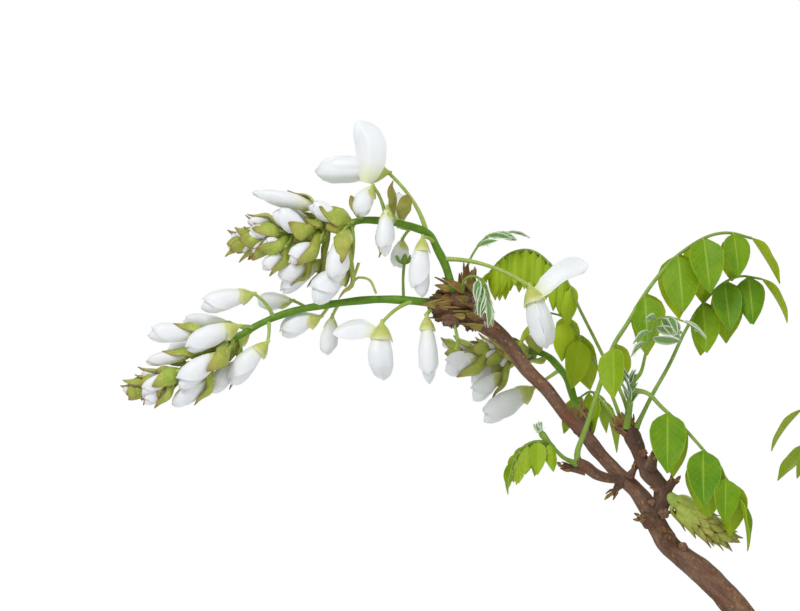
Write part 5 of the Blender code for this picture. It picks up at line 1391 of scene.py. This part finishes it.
def wood():
    """Trunk, branches, spurs, knot, roots and the old bud scales, as one piece."""
    bundle = Bundle()
    for points, radii, rough, seed, dark, pitch, lobes in LIMBS:
        add_limb(bundle, points, radii, rough, seed, dark, pitch, lobes)
    for number, (start, end, thick, thin) in enumerate(SPURS):
        start, end = np.asarray(start, float), np.asarray(end, float)
        middle = (start + end) / 2
        add_limb(bundle, [start, middle, end], [thick * 1.15, (thick + thin) / 2, thin], 2.0, 10 + number,
                 dark=0.35, pitch=0.5)
        add_bud_scales(bundle, [middle, end, end + (end - middle) * 0.3], thin, 6, 1.8, 40 + number)
    for number, (centre, half_sizes) in enumerate(KNOT_LUMPS):
        add_lump(bundle, centre, half_sizes, number, 0.42)
    for line, radius, count, size, seed, spread, ages in BUD_SCALES:
        add_bud_scales(bundle, line, radius, count, size, seed, spread, ages)
    for spot, size in SCARS:
        add_lump(bundle, spot, (size * 0.95, size * 0.5, size * 0.75), 5.0 + size, 0.1)
    draw = random.Random(17)
    base = np.array(ROOT_CENTRE)
    for k in range(ROOT_COUNT):
        turn = k * 2 * math.pi / ROOT_COUNT + draw.uniform(-0.25, 0.25)
        out = np.array([math.cos(turn), math.sin(turn), 0])
        bend = np.array([-math.sin(turn), math.cos(turn), 0]) * draw.uniform(-9, 9)
        reach = draw.uniform(30, 44) * (1.0 if abs(out[0]) > 0.5 else 0.8)
        path = [base + out * 10 + np.array([0, 0, 74]), base + out * 19 + np.array([0, 0, 64.5]),
                base + out * (19 + reach * 0.45) + bend * 0.4 + np.array([0, 0, 59.5]),
                base + out * (19 + reach) + bend + np.array([0, 0, 55.0])]
        add_limb(bundle, path, [6.5, 6.2, 4.2, 2.0], 1.8, 30 + k, dark=0.1, pitch=1.1)
    piece = bundle.build("wood_bark", [bark_material(), FLOWER_FINISHES[BRACT]], sharp=80.0)
    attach(piece, WOOD_BODY)
    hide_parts("trunk_and_branches")


# ---------------------------------------------------------------- pot and soil
def pot_outline(height):
    """How far the outer wall stands in from the rim at this height: it leans in to the foot."""
    return POT_FOOT_INSET * (1 - np.asarray(height) / POT_HEIGHT) ** 1.6 + POT_RIM_PROUD


def pot_rings(heights, insets):
    """Rounded rectangles by the superellipse formula, one for each height and inset."""
    angle = 2 * np.pi * (np.arange(POT_SIDES) + 0.5) / POT_SIDES
    power = 2 / POT_SQUARENESS
    x = np.sign(np.cos(angle)) * np.abs(np.cos(angle)) ** power
    y = np.sign(np.sin(angle)) * np.abs(np.sin(angle)) ** power
    heights, insets = np.asarray(heights, float)[:, None], np.asarray(insets, float)[:, None]
    return np.stack([(POT_LENGTH / 2 - insets) * x, (POT_DEPTH / 2 - insets) * y, heights + 0 * x], axis=-1)


def filleted(corners, radius):
    """The polyline with each inner corner replaced by a short curve."""
    corners = np.asarray(corners, float)
    made = [corners[0]]
    for before, corner, after in zip(corners, corners[1:], corners[2:]):
        first, second = before - corner, after - corner
        near = min(radius, np.linalg.norm(first) * 0.45, np.linalg.norm(second) * 0.45)
        start, end = corner + unit(first) * near, corner + unit(second) * near
        f = np.linspace(0, 1, 5)[:, None]
        made += list((1 - f) ** 2 * start + 2 * f * (1 - f) * corner + f**2 * end)
    return np.array(made + [corners[-1]])


def pot():
    """The lipped tray: a filleted wall profile carried round the rounded rectangle, then drained."""
    rim_low = POT_HEIGHT - POT_RIM_HEIGHT
    wall = [(z, float(pot_outline(z))) for z in np.linspace(4, rim_low - 3, 9)]
    profile = [(0, float(pot_outline(0)) + 16), (0, float(pot_outline(0)) + 0.4), *wall,
               (rim_low, float(pot_outline(rim_low))), (rim_low + 0.2, 0.5), (POT_HEIGHT, 0.5),
               (POT_HEIGHT, POT_WALL + POT_RIM_PROUD),
               (INNER_KNEE, float(pot_outline(INNER_KNEE)) + POT_WALL),
               (POT_FLOOR, float(pot_outline(POT_FLOOR)) + POT_WALL + 2.0),
               (POT_FLOOR, float(pot_outline(POT_FLOOR)) + 30.0)]
    profile = filleted(profile, 1.6)
    bundle = Bundle()
    rings = pot_rings(profile[:, 0], profile[:, 1])
    bundle.wrapped(closed(rings), 0, np.linspace(0, 1, len(rings) + 2), 0.5, 0.5, 0.0)
    piece = bundle.build("pot_clay_body", [clay_material()], sharp=50.0)
    cutters = []
    for way in (-1, 1):
        x = way * DRAIN_OFFSET
        drain = Bundle()
        drain.tube(np.array([(x, 0, -2.0), (x, 0, POT_FLOOR + 2)]), [DRAIN_RADIUS, DRAIN_RADIUS], 32, 0)
        cutters.append(drain.build("drain_cut", []))
        channel = Bundle()
        corners = np.array([[(x - CHANNEL_WIDTH / 2, y, -2.0), (x + CHANNEL_WIDTH / 2, y, -2.0),
                             (x + CHANNEL_WIDTH / 2, y, CHANNEL_DEPTH),
                             (x - CHANNEL_WIDTH / 2, y, CHANNEL_DEPTH)] for y in (-POT_DEPTH, POT_DEPTH)])
        channel.wrapped(closed(corners), 0, [0, 0, 1, 1], 0.5, 0.5, 0.0)
        cutters.append(channel.build("channel_cut", []))
    for cutter in cutters:
        step = piece.modifiers.new("Drain", "BOOLEAN")
        step.operation = "DIFFERENCE"
        step.object = cutter
    bpy.context.view_layer.update()
    seen = piece.evaluated_get(bpy.context.evaluated_depsgraph_get())
    mesh = bpy.data.meshes.new_from_object(seen)
    piece.modifiers.clear()
    piece.data = mesh
    for cutter in cutters:
        bpy.data.objects.remove(cutter, do_unlink=True)
    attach(piece, WOOD_BODY)
    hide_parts("pot")


EARTH, GRAIN, TUFT = range(3)
# A baked clay grain: a ball of twenty faces, a little flattened
BALL = np.array([(0, 0, 1), (0.89, 0, 0.45), (0.28, 0.85, 0.45), (-0.72, 0.53, 0.45), (-0.72, -0.53, 0.45),
                 (0.28, -0.85, 0.45), (0.72, 0.53, -0.45), (-0.28, 0.85, -0.45), (-0.89, 0, -0.45),
                 (-0.28, -0.85, -0.45), (0.72, -0.53, -0.45), (0, 0, -1)]) * (1.0, 0.86, 0.78)
BALL_FACES = np.array([(0, 1, 2), (0, 2, 3), (0, 3, 4), (0, 4, 5), (0, 5, 1), (1, 6, 2), (2, 7, 3),
                       (3, 8, 4), (4, 9, 5), (5, 10, 1), (6, 7, 2), (7, 8, 3), (8, 9, 4), (9, 10, 5),
                       (10, 6, 1), (11, 7, 6), (11, 8, 7), (11, 9, 8), (11, 10, 9), (11, 6, 10)])


def soil_height(x, y):
    """The soil's top: a low dome to the trunk with lattice noise, and the share of moss at each point."""
    half_x, half_y = POT_LENGTH / 2 - SOIL_INSET, POT_DEPTH / 2 - SOIL_INSET
    wide, deep = np.abs(x / half_x) ** POT_SQUARENESS, np.abs(y / half_y) ** POT_SQUARENESS
    share = (wide + deep) ** (1 / POT_SQUARENESS)
    dome = SOIL_EDGE + (SOIL_CROWN - SOIL_EDGE) * (1 - np.clip(share, 0, 1) ** 2)
    moss = cell_noise(x / 26 + 20, y / 26 + 20) * 0.7 + cell_noise(x / 9 + 7, y / 9 + 30) * 0.3
    moss = np.clip((moss - 0.47) / 0.08, 0, 1) * np.clip((0.985 - share) / 0.06, 0, 1)
    lumps = cell_noise(x / 3.1 + 40, y / 3.1 + 11)
    return dome + moss * (1.2 + 1.4 * lumps) + 0.6 * cell_noise(x / 1.7, y / 1.7), moss


def soil():
    """The soil: its body in the pot, moss cushions, baked clay grains and moss tufts."""
    bundle = Bundle()
    low, knee, edge = 9.8, INNER_KNEE, SOIL_EDGE - 0.5
    side = [float(pot_outline(POT_FLOOR)) + POT_WALL + 2.6, float(pot_outline(knee)) + POT_WALL + 0.4,
            SOIL_INSET]
    rings = pot_rings([low, knee, edge], side)
    top = []
    for share in np.linspace(1, 0.02, 64):
        ring = pot_rings([0], [SOIL_INSET])[0] * share
        ring[:, 0] += TRUNK[1][0] * (1 - share)
        ring[:, 2] = soil_height(ring[:, 0], ring[:, 1])[0]
        top.append(ring)
    rings = closed(np.concatenate([rings, np.array(top)]))
    moss = soil_height(rings[..., 0], rings[..., 1])[1]
    bundle.wrapped(rings, EARTH, np.linspace(0, 1, len(rings)), 0.5, 0.5, moss)
    rng = np.random.default_rng(5)
    half = np.array([POT_LENGTH / 2 - GRAIN_INSET, POT_DEPTH / 2 - GRAIN_INSET])
    spots = rng.uniform(-1, 1, (GRAIN_COUNT, 2))
    spots = spots[(np.abs(spots) ** POT_SQUARENESS).sum(1) < 1] * half
    height, mossy = soil_height(spots[:, 0], spots[:, 1])
    bare = mossy < 0.35
    spots, height = spots[bare], height[bare]
    sizes = rng.uniform(0.9, 2.3, len(spots))
    places = np.column_stack([spots, height + 0.1])
    bundle.scatter(BALL, BALL_FACES, places, sizes, turns_towards(rng.normal(0, 1, (len(spots), 3))), GRAIN,
                   rng.uniform(0, 1, len(spots)), np.zeros(len(spots)))
    tufts = rng.uniform(-1, 1, (TUFT_COUNT, 2))
    tufts = tufts[(np.abs(tufts) ** POT_SQUARENESS).sum(1) < 1] * half
    height, mossy = soil_height(tufts[:, 0], tufts[:, 1])
    tufts, height = tufts[mossy > 0.5], height[mossy > 0.5]
    ways = rng.normal(0, 0.35, (len(tufts), 3)) + np.array([0, 0, 1.0])
    strand = STRAND * (7.0, 7.0, 1.0)
    bundle.scatter(strand, STRAND_FACES, np.column_stack([tufts, height - 0.3]),
                   rng.uniform(1.2, 2.4, len(tufts)), turns_towards(ways), TUFT,
                   rng.uniform(0, 1, len(tufts)), np.ones(len(tufts)))
    piece = bundle.build("soil_and_moss", [soil_material(), grain_material(), moss_material()], sharp=40.0)
    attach(piece, WOOD_BODY)
    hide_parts("soil")


# ---------------------------------------------------------------- stage
def floor():
    """A wide pale disc whose rim shines as white as the backdrop."""
    angle = 2 * np.pi * np.arange(FLOOR_SIDES) / FLOOR_SIDES
    radius = np.array([0.0005, 0.3, 0.6, 0.9, 1.2, 1.6, 2.0])[:, None]
    grid = np.stack([radius * np.cos(angle), radius * np.sin(angle),
                     np.full((len(radius), FLOOR_SIDES), FLOOR_LEVEL)], axis=-1)
    mesh = bpy.data.meshes.new("floor")
    faces = ring_faces(len(radius), FLOOR_SIDES)[:, [0, 3, 2, 1]]
    mesh.from_pydata(grid.reshape(-1, 3).tolist(), [], faces.tolist())
    made, tree, shader = new_material("floor_white", 0.6)
    shader.inputs["Base Color"].default_value = (0.93, 0.93, 0.93, 1)
    place = object_place(tree)
    far = put(tree, "ShaderNodeVectorMath", links={0: place}, operation="LENGTH").outputs["Value"]
    glow = put(tree, "ShaderNodeEmission", {"Color": (1, 1, 1, 1), "Strength": 1.0})
    seen = put(tree, "ShaderNodeLightPath").outputs["Is Camera Ray"]
    share = maths(tree, "MULTIPLY", ranged(tree, far, 0.25, 1.1), seen)
    blend = put(tree, "ShaderNodeMixShader", links={0: share, 1: shader.outputs[0],
                                                    2: glow.outputs[0]})
    tree.links.new(blend.outputs[0], tree.nodes["Material Output"].inputs["Surface"])
    mesh.materials.append(made)
    thing = bpy.data.objects.new("floor", mesh)
    bpy.context.scene.collection.objects.link(thing)


def area_light(name, place, size, power):
    """A square lamp turned towards the middle of the flowering branch."""
    lamp = bpy.data.lights.new(name, "AREA")
    lamp.size = size
    lamp.energy = power
    thing = bpy.data.objects.new(name, lamp)
    thing.location = place
    way = unit(np.asarray(LIGHT_AIM) - np.asarray(place))
    thing.rotation_euler = (math.acos(-way[2]), 0.0, math.atan2(way[0], -way[1]) + math.pi)
    bpy.context.scene.collection.objects.link(thing)


def stage():
    """White backdrop for the camera, a softer sky for the light, three lamps and the camera itself."""
    floor()
    world = bpy.data.worlds.new("backdrop")
    bpy.context.scene.world = world
    world.use_nodes = True
    tree = world.node_tree
    seen = tree.nodes["Background"]
    seen.inputs["Color"].default_value = (1, 1, 1, 1)
    seen.inputs["Strength"].default_value = 1.0
    bpy.context.scene.view_settings.view_transform = "Standard"
    bpy.context.scene.view_settings.look = "None"
    light = put(tree, "ShaderNodeBackground", {"Color": (0.95, 0.98, 1.0, 1), "Strength": SKY_STRENGTH})
    rays = put(tree, "ShaderNodeLightPath")
    both = put(tree, "ShaderNodeMixShader", links={0: rays.outputs["Is Camera Ray"], 1: light.outputs[0],
                                                   2: seen.outputs[0]})
    tree.links.new(both.outputs[0], tree.nodes["World Output"].inputs["Surface"])
    for name, place, size, power in LIGHTS:
        area_light(name, place, size, power)
    lens = bpy.data.cameras.new("camera")
    lens.lens = SENSOR_WIDTH * CAMERA_AWAY / SEEN_WIDTH
    lens.sensor_width = SENSOR_WIDTH
    camera = bpy.data.objects.new("camera", lens)
    camera.location = CAMERA_PLACE
    camera.rotation_euler = (math.pi / 2, 0.0, 0.0)
    bpy.context.scene.collection.objects.link(camera)
    bpy.context.scene.camera = camera


def main():
    """The stage, then every piece in place of its solid."""
    stage()
    raceme("raceme_upper", UPPER_STALK, UPPER_FLORETS, UPPER_OPEN, (0.15, 12, 12, 6.2, 3), 48.0, 101,
           upper_extras)
    raceme("raceme_lower", LOWER_STALK, LOWER_FLORETS, LOWER_OPEN, (0.13, 11, 10.5, 5.4, 5), 48.0, 102,
           lower_extras)
    raceme("raceme_rear", REAR_STALK, REAR_FLORETS, [], (0.42, 16, 11.5, 5.8, 7), 40.0, 103)
    for name, (points, count, seed) in RULED_STALKS.items():
        florets, opened = ruled_florets(points, count, seed)
        raceme(name, points, florets, opened, (0.16, 9, 10, 5.2, seed), 40.0, 200 + seed)
    unopened_raceme()
    photographed_leaves()
    ruled_leaves()
    wood()
    pot()
    soil()
    screen = plastic_material()
    for name in ("drainage_screen_left", "drainage_screen_right"):
        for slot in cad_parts[name].material_slots:
            slot.material = screen


main()
